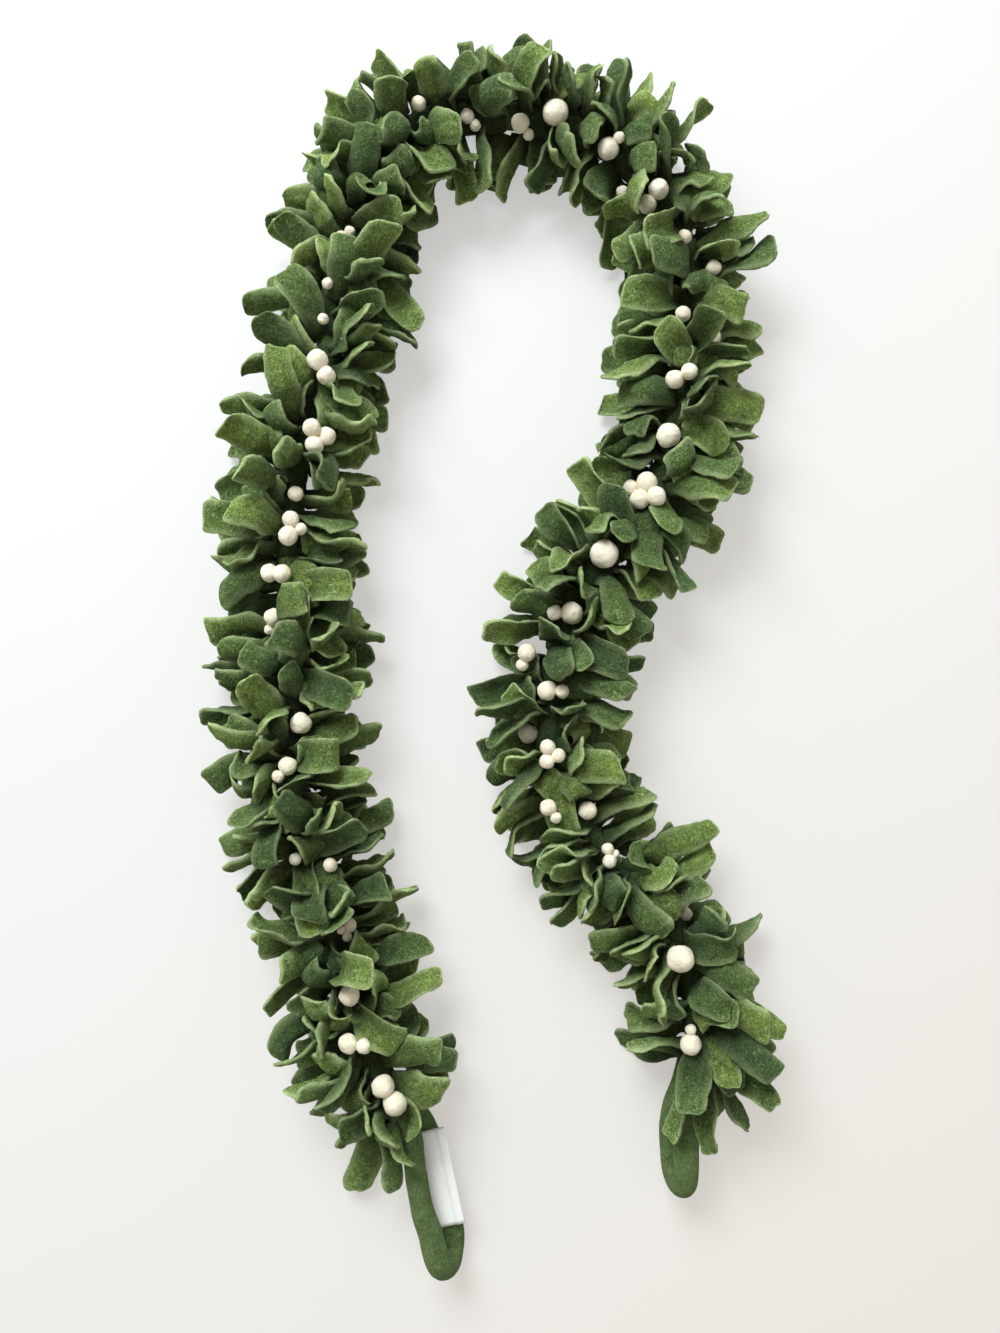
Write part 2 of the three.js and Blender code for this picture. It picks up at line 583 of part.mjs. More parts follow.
function bunchGeometry(bunch, cells) {
  const positions = [];
  const faces = [];
  const addPoints = (points) =>
    points.map((point) => {
      positions.push(...point.toArray());
      return positions.length / 3 - 1;
    });
  const addFace = (...corners) => {
    const [a, b, c, d] = corners;
    faces.push(a, b, c, a, c, d);
  };
  const outer = cellRings(bunch).map(addPoints);
  const inner = bandRings(bunch, ROPE_RADIUS + GAP).map(addPoints);
  const growing = new Map(cells.filter((cell) => cell.leaf).map((c) => [`${c.row} ${c.j}`, c]));
  for (let row = 0; row < outer.length - 1; row += 1) {
    for (let j = 0; j < CORE_SIDES; j += 1) {
      const foot = [outer[row][j], outer[row][next(j)], outer[row + 1][next(j)], outer[row + 1][j]];
      const cell = growing.get(`${row} ${j}`);
      if (cell) {
        let below = foot;
        for (const ring of turnedTo(cell.corners, bladeRings(cell.leaf))) {
          const above = addPoints(ring);
          for (let k = 0; k < 4; k += 1) {
            addFace(below[k], below[(k + 1) % 4], above[(k + 1) % 4], above[k]);
          }
          below = above;
        }
      } else {
        addFace(...foot);
      }
    }
  }
  for (let j = 0; j < CORE_SIDES; j += 1) {
    for (let row = 0; row < inner.length - 1; row += 1) {
      addFace(inner[row][next(j)], inner[row][j], inner[row + 1][j], inner[row + 1][next(j)]);
    }
    addFace(outer[0][next(j)], outer[0][j], inner[0][j], inner[0][next(j)]);
    const [outerEnd, innerEnd] = [outer.at(-1), inner.at(-1)];
    addFace(outerEnd[j], outerEnd[next(j)], innerEnd[next(j)], innerEnd[j]);
  }
  const geometry = new THREE.BufferGeometry();
  geometry.setAttribute('position', new THREE.Float32BufferAttribute(positions, 3));
  geometry.setIndex(faces);
  return withoutSlivers(geometry);
}

// The same mesh with shared corners merged and faces of no area left out.
function withoutSlivers(geometry) {
  const merged = mergeVertices(geometry, 1e-3);
  const index = Array.from(merged.index.array);
  const kept = [];
  for (let i = 0; i < index.length; i += 3) {
    const [a, b, c] = index.slice(i, i + 3);
    if (a !== b && b !== c && c !== a) kept.push(a, b, c);
  }
  merged.setIndex(kept);
  return merged;
}

// ---- The garland ---------------------------------------------------------------------

const FELT_GREEN = new THREE.Color(0x53703f);
const BERRY_CREAM = new THREE.Color(0xe6dcc4);
const LABEL_WHITE = new THREE.Color(0xf2f1ec);

const garland = new THREE.Group();

function addPiece(name, geometry, color, roughness) {
  const finish = new THREE.MeshStandardMaterial({ color, roughness, metalness: 0 });
  const piece = new THREE.Mesh(geometry, finish);
  piece.name = name;
  garland.add(piece);
}

const numbered = (stem, i) => `${stem}_${String(i + 1).padStart(2, '0')}`;
const onTable = (solid) => solid.trimByPlane([0, 0, 1], 0);

addPiece('core_rope', coreGeometry(), FELT_GREEN, 0.95);
const leftLoop = onTable(loopSolid(0, LEFT_LOOP));
addPiece('hanging_loop_left', fromSolid(leftLoop), FELT_GREEN, 0.95);
const rightLoop = onTable(loopSolid(CORE_LENGTH, RIGHT_LOOP));
addPiece('hanging_loop_right', fromSolid(rightLoop), FELT_GREEN, 0.95);
addPiece('blank_label', fromSolid(labelSolid()), LABEL_WHITE, 0.6);

const { cells, leafSolids } = plantLeaves([
  ...BERRIES.map((berry) => berrySolid(berry, GAP)),
  ...BERRIES.map(berryView),
  loopSolid(0, LEFT_LOOP, GAP),
  loopSolid(CORE_LENGTH, RIGHT_LOOP, GAP),
  labelSolid(GAP),
]);
cells.forEach((own, i) => {
  addPiece(numbered('leaf_bunch', i), bunchGeometry(i, own), FELT_GREEN, 0.95);
});
seatBerries([...leafSolids, ...bandSolids, leftLoop, rightLoop]);
BERRIES.forEach((berry, i) => {
  addPiece(numbered('berries', i), fromSolid(berrySolid(berry)), BERRY_CREAM, 0.9);
});

// The origin is under the middle of the garland, on the table.
const middle = new THREE.Box3().setFromObject(garland).getCenter(new THREE.Vector3());
garland.position.set(-middle.x, -middle.y, 0);
garland.updateMatrixWorld(true);

export default garland;
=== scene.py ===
# %% [markdown]
# # A felt mistletoe garland
#
# The garland is a rolled felt rope with a hanging loop at each end. Leaves cut from thick
# felt are caught by their feet all round the rope, and felt balls, the berries, sit between
# them. It lies on a table in an upside-down U. The frame holds the plain solids at their
# real size, and this script dresses them.

# %% Load the frame
import math

import bmesh
import bpy
import numpy as np
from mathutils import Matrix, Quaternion, Vector, bvhtree, kdtree, noise


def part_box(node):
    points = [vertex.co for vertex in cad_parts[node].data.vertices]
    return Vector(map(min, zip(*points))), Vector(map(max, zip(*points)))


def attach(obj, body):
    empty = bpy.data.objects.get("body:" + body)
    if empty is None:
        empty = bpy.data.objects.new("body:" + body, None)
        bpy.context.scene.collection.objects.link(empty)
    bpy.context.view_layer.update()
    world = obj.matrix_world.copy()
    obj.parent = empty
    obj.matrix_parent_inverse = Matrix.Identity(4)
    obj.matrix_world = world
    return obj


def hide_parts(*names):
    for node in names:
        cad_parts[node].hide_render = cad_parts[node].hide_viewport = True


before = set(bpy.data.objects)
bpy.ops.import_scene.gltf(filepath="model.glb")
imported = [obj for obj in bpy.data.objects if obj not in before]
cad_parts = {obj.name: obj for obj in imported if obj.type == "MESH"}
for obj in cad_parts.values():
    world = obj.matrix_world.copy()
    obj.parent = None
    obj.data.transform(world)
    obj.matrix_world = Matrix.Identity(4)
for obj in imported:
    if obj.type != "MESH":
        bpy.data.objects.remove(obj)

scene = bpy.context.scene
MM = 0.001  # metres in a millimetre: the tables are in millimetres and degrees
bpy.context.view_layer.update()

# %% [markdown]
# ## The sizes
#
# These are the driving sizes of the garland: the rope, the felt and the leaves. The leaves
# are dealt out by a rule, so the same rule with the same seed puts them where the frame's
# solids are.

# %% Driving sizes
ROPE_RADIUS = 9.6
CORE_SIDES = 8
CORE_HEIGHT = 33  # of the rope's middle over the table
ROUTE_STEPS = 6000
JOINT_GAP = 0.6  # between the rope's end and the loop sewn to it
FELT = 3  # thickness of the leaf felt
LEAF_LENGTH = 50
LEAF_WIDTH = 25
BUNCHES = 20
LEAVES = 380
LEAFY_FROM = 14
LEAFY_TO_END = 20
BAND_LENGTH = 74
ROOT_RADIUS = 11.6  # where a leaf's foot starts
GOLDEN_ANGLE = 137.508
FAN = 0.78
LOW_ANGLE = 105  # leaves that start lower than this turn flat to the table
LOW_ROLL = 55  # and by this much
TABLE_CLEAR = FELT / 2 + 0.6
SPINE_STEPS = 24
BERRY_REACH = 30
BALL_SEAT = 0.9
BERRY_STEP = 55
UP = Vector((0, 0, 1))

# The route of the rope's middle, from the labelled end round to the other: x, y.
CORE_ROUTE = [
    (-70, -333), (-89, -298), (-108, -254), (-117, -207), (-130, -159), (-144, -112),
    (-152, -65), (-152, -17), (-149, 30), (-153, 78), (-154, 125), (-144, 172),
    (-128, 216), (-120, 263), (-109, 311), (-96, 351), (-73, 384), (-36, 398),
    (4, 401), (44, 395), (82, 378), (113, 347), (133, 307), (138, 263),
    (134, 220), (128, 176), (117, 136), (96, 100), (71, 70), (51, 38),
    (42, 1), (38, -39), (42, -83), (64, -126), (95, -159), (122, -188),
    (140, -225), (147, -265), (141, -305),
]
# The hanging loops, from the rope's ends, back under themselves: x, y, z.
LEFT_LOOP = [
    (-64.6, -343, 33), (-62.5, -362, 31.1), (-57, -396, 30.9), (-51, -414, 31.8),
    (-47, -427, 33.8), (-43, -437.5, 31), (-39, -441, 21.5), (-36.8, -438, 12),
    (-36, -429, 8.6), (-41, -402, 8.6), (-48, -373, 8.6), (-55, -351, 8.6),
    (-59.5, -341, 9.4), (-65.5, -330, 14),
]
RIGHT_LOOP = [
    (139.1, -317.5, 33), (137, -336, 29.2), (136, -352, 31), (135.3, -367, 34.4),
    (134.5, -377, 31.5), (133, -381.5, 21.5), (131, -378, 12), (130, -368, 8.6),
    (129, -350, 8.6), (131, -330, 10.5), (136, -314, 14.4),
]
print("route points", len(CORE_ROUTE))

# %% [markdown]
# ## The rope's route
#
# A Catmull-Rom curve runs through the route's points. A station is the length along it, in
# millimetres. Asking for a place by its station, and not by its point number, spreads the
# leaves evenly.


# %% Stations along the route
def cubic(start, end, leave, reach, t):
    """One place on a cubic curve between two points, given its slopes at both."""
    return (
        (2 * start - 2 * end + leave + reach) * t**3
        + (3 * end - 3 * start - 2 * leave - reach) * t**2
        + leave * t
        + start
    )


def even_slopes(a, b, c, d):
    """Catmull-Rom slopes at the middle two of four points."""
    return (c - a) / 2, (d - b) / 2


def curve_through(points, divisions, slopes=even_slopes):
    """Points along a smooth curve through the given ones."""
    p = [Vector(q) for q in points]
    p = [2 * p[0] - p[1], *p, 2 * p[-1] - p[-2]]
    spans = len(points) - 1
    out = []
    for i in range(divisions + 1):
        t = i / divisions * spans
        k = min(int(t), spans - 1)
        a, b, c, d = p[k : k + 4]
        out.append(cubic(b, c, *slopes(a, b, c, d), t - k))
    return out


route = np.array(curve_through([(x, y, CORE_HEIGHT) for x, y in CORE_ROUTE], ROUTE_STEPS))
route_steps = np.linalg.norm(np.diff(route, axis=0), axis=1)
route_stations = np.concatenate([[0], np.cumsum(route_steps)])
CORE_LENGTH = float(route_stations[-1])


def place_at(station):
    """The rope's middle at a station."""
    return Vector([float(np.interp(station, route_stations, route[:, k])) for k in range(3)])


def core_at(station):
    """The rope's middle at a station, the way along it and the way to its right."""
    station = min(max(station, 0), CORE_LENGTH)
    near = max(station - 0.2, 0)
    far = min(station + 0.2, CORE_LENGTH)
    along = (place_at(far) - place_at(near)).normalized()
    return place_at(station), along, along.cross(UP)


def rope_ring(station):
    """The corners of the frame's rope at a station."""
    middle, along, side = core_at(station)
    turns = [2 * math.pi * (j + 0.5) / CORE_SIDES for j in range(CORE_SIDES)]
    return [
        middle + side * (ROPE_RADIUS * math.sin(a)) + UP * (ROPE_RADIUS * math.cos(a))
        for a in turns
    ]


BUNCH_PITCH = (CORE_LENGTH - LEAFY_FROM - LEAFY_TO_END) / BUNCHES


def bunch_of(station):
    """The number of the bunch that a leaf at a station belongs to."""
    return min(max(int((station - LEAFY_FROM) // BUNCH_PITCH), 0), BUNCHES - 1)


# The frame has its origin under the middle of the garland, and the route has its own. The
# rope's box in both gives the way from one to the other.
ring_stations = [0, CORE_LENGTH]
for bunch in range(BUNCHES):
    bunch_middle = LEAFY_FROM + (bunch + 0.5) * BUNCH_PITCH
    ring_stations += [bunch_middle + share * BAND_LENGTH for share in (-0.5, 0, 0.5)]
rings = np.array([corner for station in ring_stations for corner in rope_ring(station)])
rope_low, rope_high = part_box("core_rope")
SHIFT = (np.array(rope_low) + np.array(rope_high)) / 2 - MM * (rings.min(0) + rings.max(0)) / 2
SHIFT[2] = 0
print("rope length", round(CORE_LENGTH, 1), "mm; shift to the frame", SHIFT.round(5))


def to_frame(points):
    """Garland millimetres to the frame's metres."""
    return np.asarray(points, float) * MM + SHIFT


# %% [markdown]
# ## The leaves' rule
#
# On the real garland each leaf is a strip of thick felt with a narrow foot, caught at the
# rope and curling as it likes. A leaf here is a row of numbers: where its foot is, which way
# it goes, and how it rolls, bends and twists. A first table has the leaves that stand out of
# the crowd, a second has those that curl over the top, and the crowd is dealt out by the
# golden angle, which never repeats, with a seeded chance in every number.

# %% The tables of leaves and berries
# A leaf's row in the first table, of those that stand out
ROW_KEYS = ("station", "angle", "length", "width", "lean", "roll", "bend", "tip")
STANDOUTS = [
    (15, -115, 78, 30, -40, 8, 0, 0.55), (15, -130, 71, 22, -60, 8, 0, 0.4),
    (33, 55, 41, 28, -30, 20, 0, 0.7), (52, 95, 53, 24, -35, 20, 0, 0.5),
    (71, -110, 65, 24, -25, 10, 0, 0.5), (92, 85, 60, 22, 5, 40, 0, 0.5),
    (96, -75, 54, 26, -15, 15, 0, 0.7), (128, 90, 55, 24, 0, 30, 0, 0.5),
    (136, -80, 57, 22, -25, 40, 10, 0.4), (170, -95, 52, 20, -15, 60, 0, 0.4),
    (240, -100, 67, 26, -15, -10, 0, 0.5), (491, -90, 47, 24, -35, 30, 0, 0.4),
    (506, 80, 47, 26, 25, 30, 0, 0.45), (533, -80, 52, 22, -20, 60, 0, 0.5),
    (568, 95, 43, 22, 30, 40, 0, 0.5), (635, -60, 51, 24, 35, 40, 0, 0.5),
    (650, 85, 65, 24, -35, 20, 0, 0.5), (664, -50, 51, 22, 55, 60, 0, 0.4),
    (672, 60, 44, 24, 15, 30, 0, 0.5), (723, -35, 42, 22, 25, 80, -30, 0.4),
    (745, -20, 40, 28, 15, 20, 0, 0.6), (779, -25, 39, 26, -5, 30, 0, 0.6),
    (787, 135, 45, 24, -50, 10, 0, 0.4), (802, -35, 40, 24, 0, 55, 0, 0.5),
    (823, -35, 36, 24, -5, 60, 10, 0.5), (865, -35, 40, 18, -20, 85, 15, 0.3),
    (884, -30, 41, 22, -15, 70, 0, 0.45), (892, 120, 50, 22, 30, 15, 0, 0.3),
    (910, -35, 50, 18, -20, 85, 0, 0.4), (923, -40, 50, 18, 0, 80, 0, 0.3),
    (936, 110, 60, 24, 30, 30, 0, 0.6), (955, -75, 44, 30, 40, 15, 0, 0.4),
    (977, 85, 53, 26, 50, 20, 0, 0.5), (994, -85, 36, 26, 25, 30, 0, 0.5),
    (1054, -80, 46, 26, 30, 20, 0, 0.5), (1090, -90, 57, 26, 40, 20, 0, 0.4),
    (1165, -80, 52, 26, -10, 25, 0, 0.4), (1289, 90, 48, 24, 0, 35, 0, 0.5),
    (1299, 115, 49, 24, 30, -15, 0, 0.5), (1333, -75, 48, 26, 5, 20, 0, 0.45),
    (1340, 70, 54, 26, 25, 20, 20, 0.55), (1366, 80, 44, 24, 30, 80, 20, 0.4),
    (1497, -85, 67, 24, 20, 25, 0, 0.35), (1541, -95, 66, 22, 15, 60, 0, 0.45),
    (1548, -85, 65, 24, 20, 30, 0, 0.45), (1599, -90, 64, 24, 50, 30, 0, 0.35),
    (1635, -115, 64, 22, 40, 10, 0, 0.4), (1643, -120, 64, 24, 55, 15, 0, 0.35),
    (1645, 140, 78, 20, 75, 20, 0, 0.45), (1652, -25, 41, 20, 75, 30, 0, 0.5),
]
# Those that lie or curl over the top
TOP_KEYS = ("station", "angle", "lean", "roll", "bend")
TOP_LEAVES = [
    (20, 40, -45, 60, 20), (55, 50, -20, 0, 30), (68, -15, -35, 20, -50), (100, 30, -35, 25, 35),
    (122, 0, 10, 20, 75), (176, 5, -60, 80, 15), (205, -15, -55, 90, 20), (217, 30, -5, -10, 60),
    (232, 25, 0, 10, -95), (262, -10, -10, 10, 90), (281, 20, 5, 5, 70), (340, 35, -8, 15, 45),
    (365, 35, 0, 5, -100), (388, -20, 5, 0, 90), (402, 30, 0, 0, 50), (420, -45, -10, -20, -50),
    (447, -5, 8, 0, -70), (450, -45, 5, 0, -40), (480, -15, 0, 0, -15), (482, 10, -40, 40, 30),
    (500, -35, 5, 10, -30), (542, 5, -45, 80, 25), (590, -25, 40, 30, -40), (612, -40, 15, 10, -40),
    (615, 15, 55, 80, -10), (630, -20, 45, 75, -20), (632, 40, 45, 60, 0), (675, -30, 45, 45, -15),
    (690, -5, 50, 85, -15), (690, 35, 50, 75, -10), (985, 15, 20, 20, 40), (1000, 50, 5, 10, 10),
    (1000, -15, -45, 70, 10), (1020, 15, 0, 0, 60), (1042, 40, 5, 10, 40), (1042, -15, 5, 10, -60),
    (1112, 25, 0, 10, 110), (1116, -30, 0, 0, -110), (1175, -30, -15, 15, -45),
    (1205, -20, 35, 40, -40), (1310, -30, 10, 10, -50), (1402, -30, 0, 10, -45),
    (1405, 10, 50, 75, -20), (1440, 25, 0, 0, 60), (1465, -20, 25, 45, -30),
    (1500, 15, 45, 80, -10), (1535, -10, 25, 20, -50), (1560, -20, 15, 20, -60),
    (1560, 40, 35, 40, 20), (1572, -25, 15, 20, -70), (1590, 10, 50, 80, -15),
    (1600, -30, 25, 25, -40), (1632, 20, 55, 80, -10),
]
# Berry clusters: station, angle, the second ball's direction, diameters
BERRIES = [
    (38, 15, 172, (16, 17)), (77, -5, 118, (14, 11)), (109, 15, 0, (15,)),
    (154, 50, -150, (11, 7, 6)), (200, 35, 0, (10,)), (211, -25, 0, (9,)),
    (277, 5, -131, (13, 9)), (307, 30, 0, (15,)), (383, -35, -154, (13, 8)),
    (415, -30, 99, (13, 13)), (451, 15, 135, (12, 9, 14)), (471, 25, 0, (11,)),
    (520, 25, 100, (13, 13, 13)), (567, 0, 136, (15, 13)), (659, -10, 51, (8, 8)),
    (799, 25, 52, (10, 8)), (839, 40, 46, (13, 8)), (864, 10, 0, (18,)),
    (912, 30, -76, (15, 8)), (961, 15, 72, (14, 13)), (1057, 20, 0, (11,)),
    (1105, 20, -122, (13, 12)), (1145, 15, 0, (17,)), (1183, 25, -60, (15, 14, 14, 11)),
    (1244, 10, 0, (20,)), (1291, 0, 68, (16, 11)), (1324, 55, 18, (13, 9)),
    (1348, 15, -93, (14, 10)), (1379, 80, 0, (14,)), (1387, 10, -50, (11, 10, 11)),
    (1426, 30, -16, (12, 8)), (1441, -35, 0, (13,)), (1474, -25, -17, (9, 6, 10)),
    (1548, -90, 0, (10,)), (1565, 10, 0, (19,)), (1633, 30, 177, (15, 8)),
]
# Small changes that a leaf took to clear its neighbours, in the order they were tried
CHANGES = [
    {}, {"roll": 18}, {"roll": -18}, {"lean": 9}, {"lean": -9}, {"angle": 8}, {"angle": -8},
    {"roll": 35}, {"roll": -35}, {"lean": 16}, {"lean": -16}, {"length": -8, "lean": 8},
    {"length": -8, "lean": -8}, {"length": -8, "roll": 25}, {"length": -8, "roll": -25},
]
print(len(STANDOUTS), "standing out,", len(TOP_LEAVES), "over the top,", len(BERRIES), "clusters")


# %% Deal the leaves out
def random_from(seed):
    """A plain seeded generator: random(spread) lies between -spread and spread."""
    state = [seed]

    def random(spread):
        state[0] = (state[0] * 1664525 + 1013904223) & 0xFFFFFFFF
        return (2 * (state[0] / 4294967296) - 1) * spread

    return random


def named_leaves():
    """The leaves of the two tables."""
    out = [dict(zip(ROW_KEYS, row), twist=0, sag=6) for row in STANDOUTS]
    return out + [
        dict(zip(TOP_KEYS, row), length=52, width=27, twist=0, sag=10, tip=0.7)
        for row in TOP_LEAVES
    ]


def parted_from_berries(leaf):
    """Leaves part round the berries, so that each cluster can be seen."""
    parted = dict(leaf)
    for station, angle, *_ in BERRIES:
        off = leaf["station"] - station
        around = leaf["angle"] - angle
        if abs(off) < 17 and abs(around) < 42:
            parted["angle"] = angle + (-42 if around < 0 else 42)
            parted["lean"] += -10 if off < 0 else 10
    return parted


def crowd_leaves(count, seed, named):
    """The crowd, from end to end, with room left for the named leaves."""
    random = random_from(seed)
    step = (CORE_LENGTH - LEAFY_FROM - LEAFY_TO_END) / count
    out = []
    for i in range(count):
        turn = (i * GOLDEN_ANGLE + 180) % 360
        leaf = {
            "station": LEAFY_FROM + (i + 0.5) * step,
            "angle": (turn - 180) * FAN + random(8),
            "length": LEAF_LENGTH * (1 + random(0.14)),
            "width": LEAF_WIDTH * (1 + random(0.12)),
            "lean": random(20),
            "roll": 62 + random(28),
            "bend": random(25),
            "twist": random(26),
            "sag": 20,
            "tip": 0.6 + random(0.2),
        }
        upright = max(0, 1 - abs(leaf["angle"]) / 70)
        leaf["bend"] += (-65 if leaf["bend"] < 0 else 65) * upright
        if abs(leaf["angle"]) > LOW_ANGLE:
            leaf["roll"] -= LOW_ROLL
        crowded = any(
            abs(other["station"] - leaf["station"]) < 9 and abs(other["angle"] - leaf["angle"]) < 28
            for other in named
        )
        if not crowded:
            out.append(parted_from_berries(leaf))
    return out


named = named_leaves()
dealt = named + crowd_leaves(LEAVES, 4127, named)
print("leaves dealt out:", len(dealt))


# %% A leaf's middle line
def turned(vectors, axis, angle):
    """Turns vectors in place about an axis."""
    turn = Quaternion(axis, angle)
    for vector in vectors:
        vector.rotate(turn)


def frame_round(station, angle):
    """At a station, turned round the rope: its middle, along, outward and sideways ways."""
    middle, along, side = core_at(station)
    a = math.radians(angle)
    out = UP * math.cos(a) + side * math.sin(a)
    around = side * math.cos(a) - UP * math.sin(a)
    return middle, along, out, around


def leaf_spine(leaf):
    """Points from foot to tip, with the ways across and out of the blade at each."""
    middle, along, out, around = frame_round(leaf["station"], leaf["angle"])
    lean, roll = math.radians(leaf["lean"]), math.radians(leaf["roll"])
    ahead = out * math.cos(lean) + along * math.sin(lean)
    cross = along * math.cos(lean) - out * math.sin(lean)
    wide = cross * math.cos(roll) + around * math.sin(roll)
    face = ahead.cross(wide)
    point = middle + out * ROOT_RADIUS
    step = leaf["length"] / SPINE_STEPS
    bend = math.radians(leaf["bend"]) / SPINE_STEPS
    twist = math.radians(leaf["twist"]) / SPINE_STEPS
    sag = math.radians(leaf["sag"]) / SPINE_STEPS
    ways = (ahead, wide, face)
    spine = []
    for _ in range(SPINE_STEPS + 1):
        spine.append((point.copy(), wide.copy(), face.copy()))
        turned(ways, wide.copy(), bend)
        turned(ways, ahead.copy(), twist)
        level = ahead.cross(UP)
        slope = level.length
        if slope > 1e-6:
            turned(ways, level.normalized(), -sag * slope)
        if point.z + ahead.z * step < TABLE_CLEAR and ahead.z < 0:
            turned(ways, ahead.cross(UP).normalized(), math.asin(min(-ahead.z, 1)))
            edge_up = math.asin(max(-1, min(wide.z, 1)))
            way = math.copysign(1, face.z) if face.z else 1
            turned(ways, ahead.copy(), max(-0.2, min(-edge_up * way, 0.2)))
        point = point + ahead * step
    return spine


def half_outline(at, tip):
    """Half width of the blade at a share of its length, as a share of its full width."""
    foot = 0.24 + 0.26 * np.minimum(at / 0.4, 1)
    shoulder = np.maximum(at - 0.6, 0) / 0.4
    return foot * (1 - (1 - tip) * shoulder**2)


def tip_corners(leaf):
    """Where the frame's solid leaf ends: two corners."""
    point, wide, _ = leaf_spine(leaf)[-1]
    half = leaf["width"] * float(half_outline(1.0, leaf["tip"]))
    point.z = max(point.z, half * abs(wide.z))
    return point + wide * half, point - wide * half


print("the first leaf's tip:", [round(v, 1) for v in leaf_spine(dealt[0])[-1][0]])

# %% [markdown]
# ## Which leaves are there
#
# Where a leaf ran into its neighbours it was turned a little, or left out. The frame's
# solids show which: a dealt leaf is there if its tip's two corners are corners of the
# solid, as it was dealt or with one of the small changes.


# %% Find them in the frame
def node_points(name):
    """A node's corners, in garland millimetres."""
    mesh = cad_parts[name].data
    flat = np.empty(len(mesh.vertices) * 3, np.float32)
    mesh.vertices.foreach_get("co", flat)
    return (flat.reshape(-1, 3) - SHIFT) / MM


def numbered(stem, i):
    return f"{stem}_{i + 1:02d}"


def changed(leaf, change):
    """A copy of a leaf with a small change."""
    return {key: value + change.get(key, 0) for key, value in leaf.items()}


corner_trees = []
for bunch in range(BUNCHES):
    points = node_points(numbered("leaf_bunch", bunch))
    tree = kdtree.KDTree(len(points))
    for i, point in enumerate(points):
        tree.insert(point, i)
    tree.balance()
    corner_trees.append(tree)

leaves = []
for leaf in dealt:
    tree = corner_trees[bunch_of(leaf["station"])]
    for change in CHANGES:
        tried = changed(leaf, change)
        if all(tree.find(corner)[2] < 0.2 for corner in tip_corners(tried)):
            tried["bunch"] = bunch_of(leaf["station"])
            leaves.append(tried)
            break
print("leaves in the frame:", len(leaves), "of", len(dealt))

# %% [markdown]
# ## A blade of thick felt
#
# Felt 3 mm thick has no hem: its cut edge is soft and round, and the blade cups, waves and
# pinches at the foot where it is caught. Each blade is a closed body made of rings. A ring
# is a flat strip's section with round edges, set across the leaf's middle line, and the
# rings close up towards the tip, faster when the tip is blunt. A seeded chance decides how
# each blade cups, waves, creases and hooks.

# %% Blade settings
TIP_DISTANCES = [0, 0.4, 1.2, 2.6, 4.8, 8]  # rings near the tip, mm from it
SHANK_RINGS = 13  # the rest, down to the foot
RING_TURN = [  # a ring's corners: share of the flat part, share of the round edge, up
    (-1, -1, 0), (-1, -0.71, 0.71), (-1, 0, 1), (-0.36, 0, 1), (0.36, 0, 1), (1, 0, 1),
    (1, 0.71, 0.71), (1, 1, 0), (1, 0.71, -0.71), (1, 0, -1), (0.36, 0, -1), (-0.36, 0, -1),
    (-1, 0, -1), (-1, -0.71, -0.71),
]
RING_SIZE = len(RING_TURN)
BLUNT = 0.12  # by which a cut tip is wider than the solid's
FOOT = 0.36  # least half width near the foot, of the width
SLANT = 0.4  # how far off square the tip may be cut
CUP = 0.62  # depth of the hollow across the blade, of its half width
SWING = 3.4  # height of the waves along the edges
HOOK = 12  # how far the last of the blade may curl up or down
WRING = 0.7  # how far a crowd leaf may be twisted from foot to tip, in radians
RIDGE = 1.8  # height of the creases across the blade
print("corners in a ring:", RING_SIZE)


# %% Blade maker
def eased(low, high, value):
    """0 up to low, 1 from high on, and a smooth step between."""
    t = np.clip((value - low) / (high - low), 0, 1)
    return t * t * (3 - 2 * t)


def blade_line(leaf, at):
    """The middle line at shares of the length: points, and the ways across and out."""
    line = np.array([[*p, *w, *f] for p, w, f in leaf_spine(leaf)])
    steps = range(SPINE_STEPS + 1)
    rows = np.array([np.interp(at[:, 0] * SPINE_STEPS, steps, column) for column in line.T]).T
    wide, face = rows[:, 3:6], rows[:, 6:]
    wide = wide / np.linalg.norm(wide, axis=1)[:, None]
    return rows[:, :3].copy(), wide, face / np.linalg.norm(face, axis=1)[:, None]


def blade_outline(leaf, chance, at, to_tip):
    """Half width and half thickness: blunt at the tip, with small corners and a round end."""
    half = leaf["width"] * half_outline(at, min(leaf["tip"] + BLUNT, 0.92))
    half = np.maximum(half, FOOT * leaf["width"] * (1 - eased(0.3, 0.5, at)))
    corner = half[-1] * (0.48 + chance(0.24))
    near = np.clip(1 - to_tip / corner, 0, 1)
    half = half - corner * (1 - np.sqrt(1 - near**2))
    thick = FELT / 2 * (1 + chance(0.12)) * np.ones_like(at)
    near = np.clip(1 - to_tip / thick, 0, 1)
    return half, thick * np.maximum(np.sqrt(1 - near**2), 0.3)


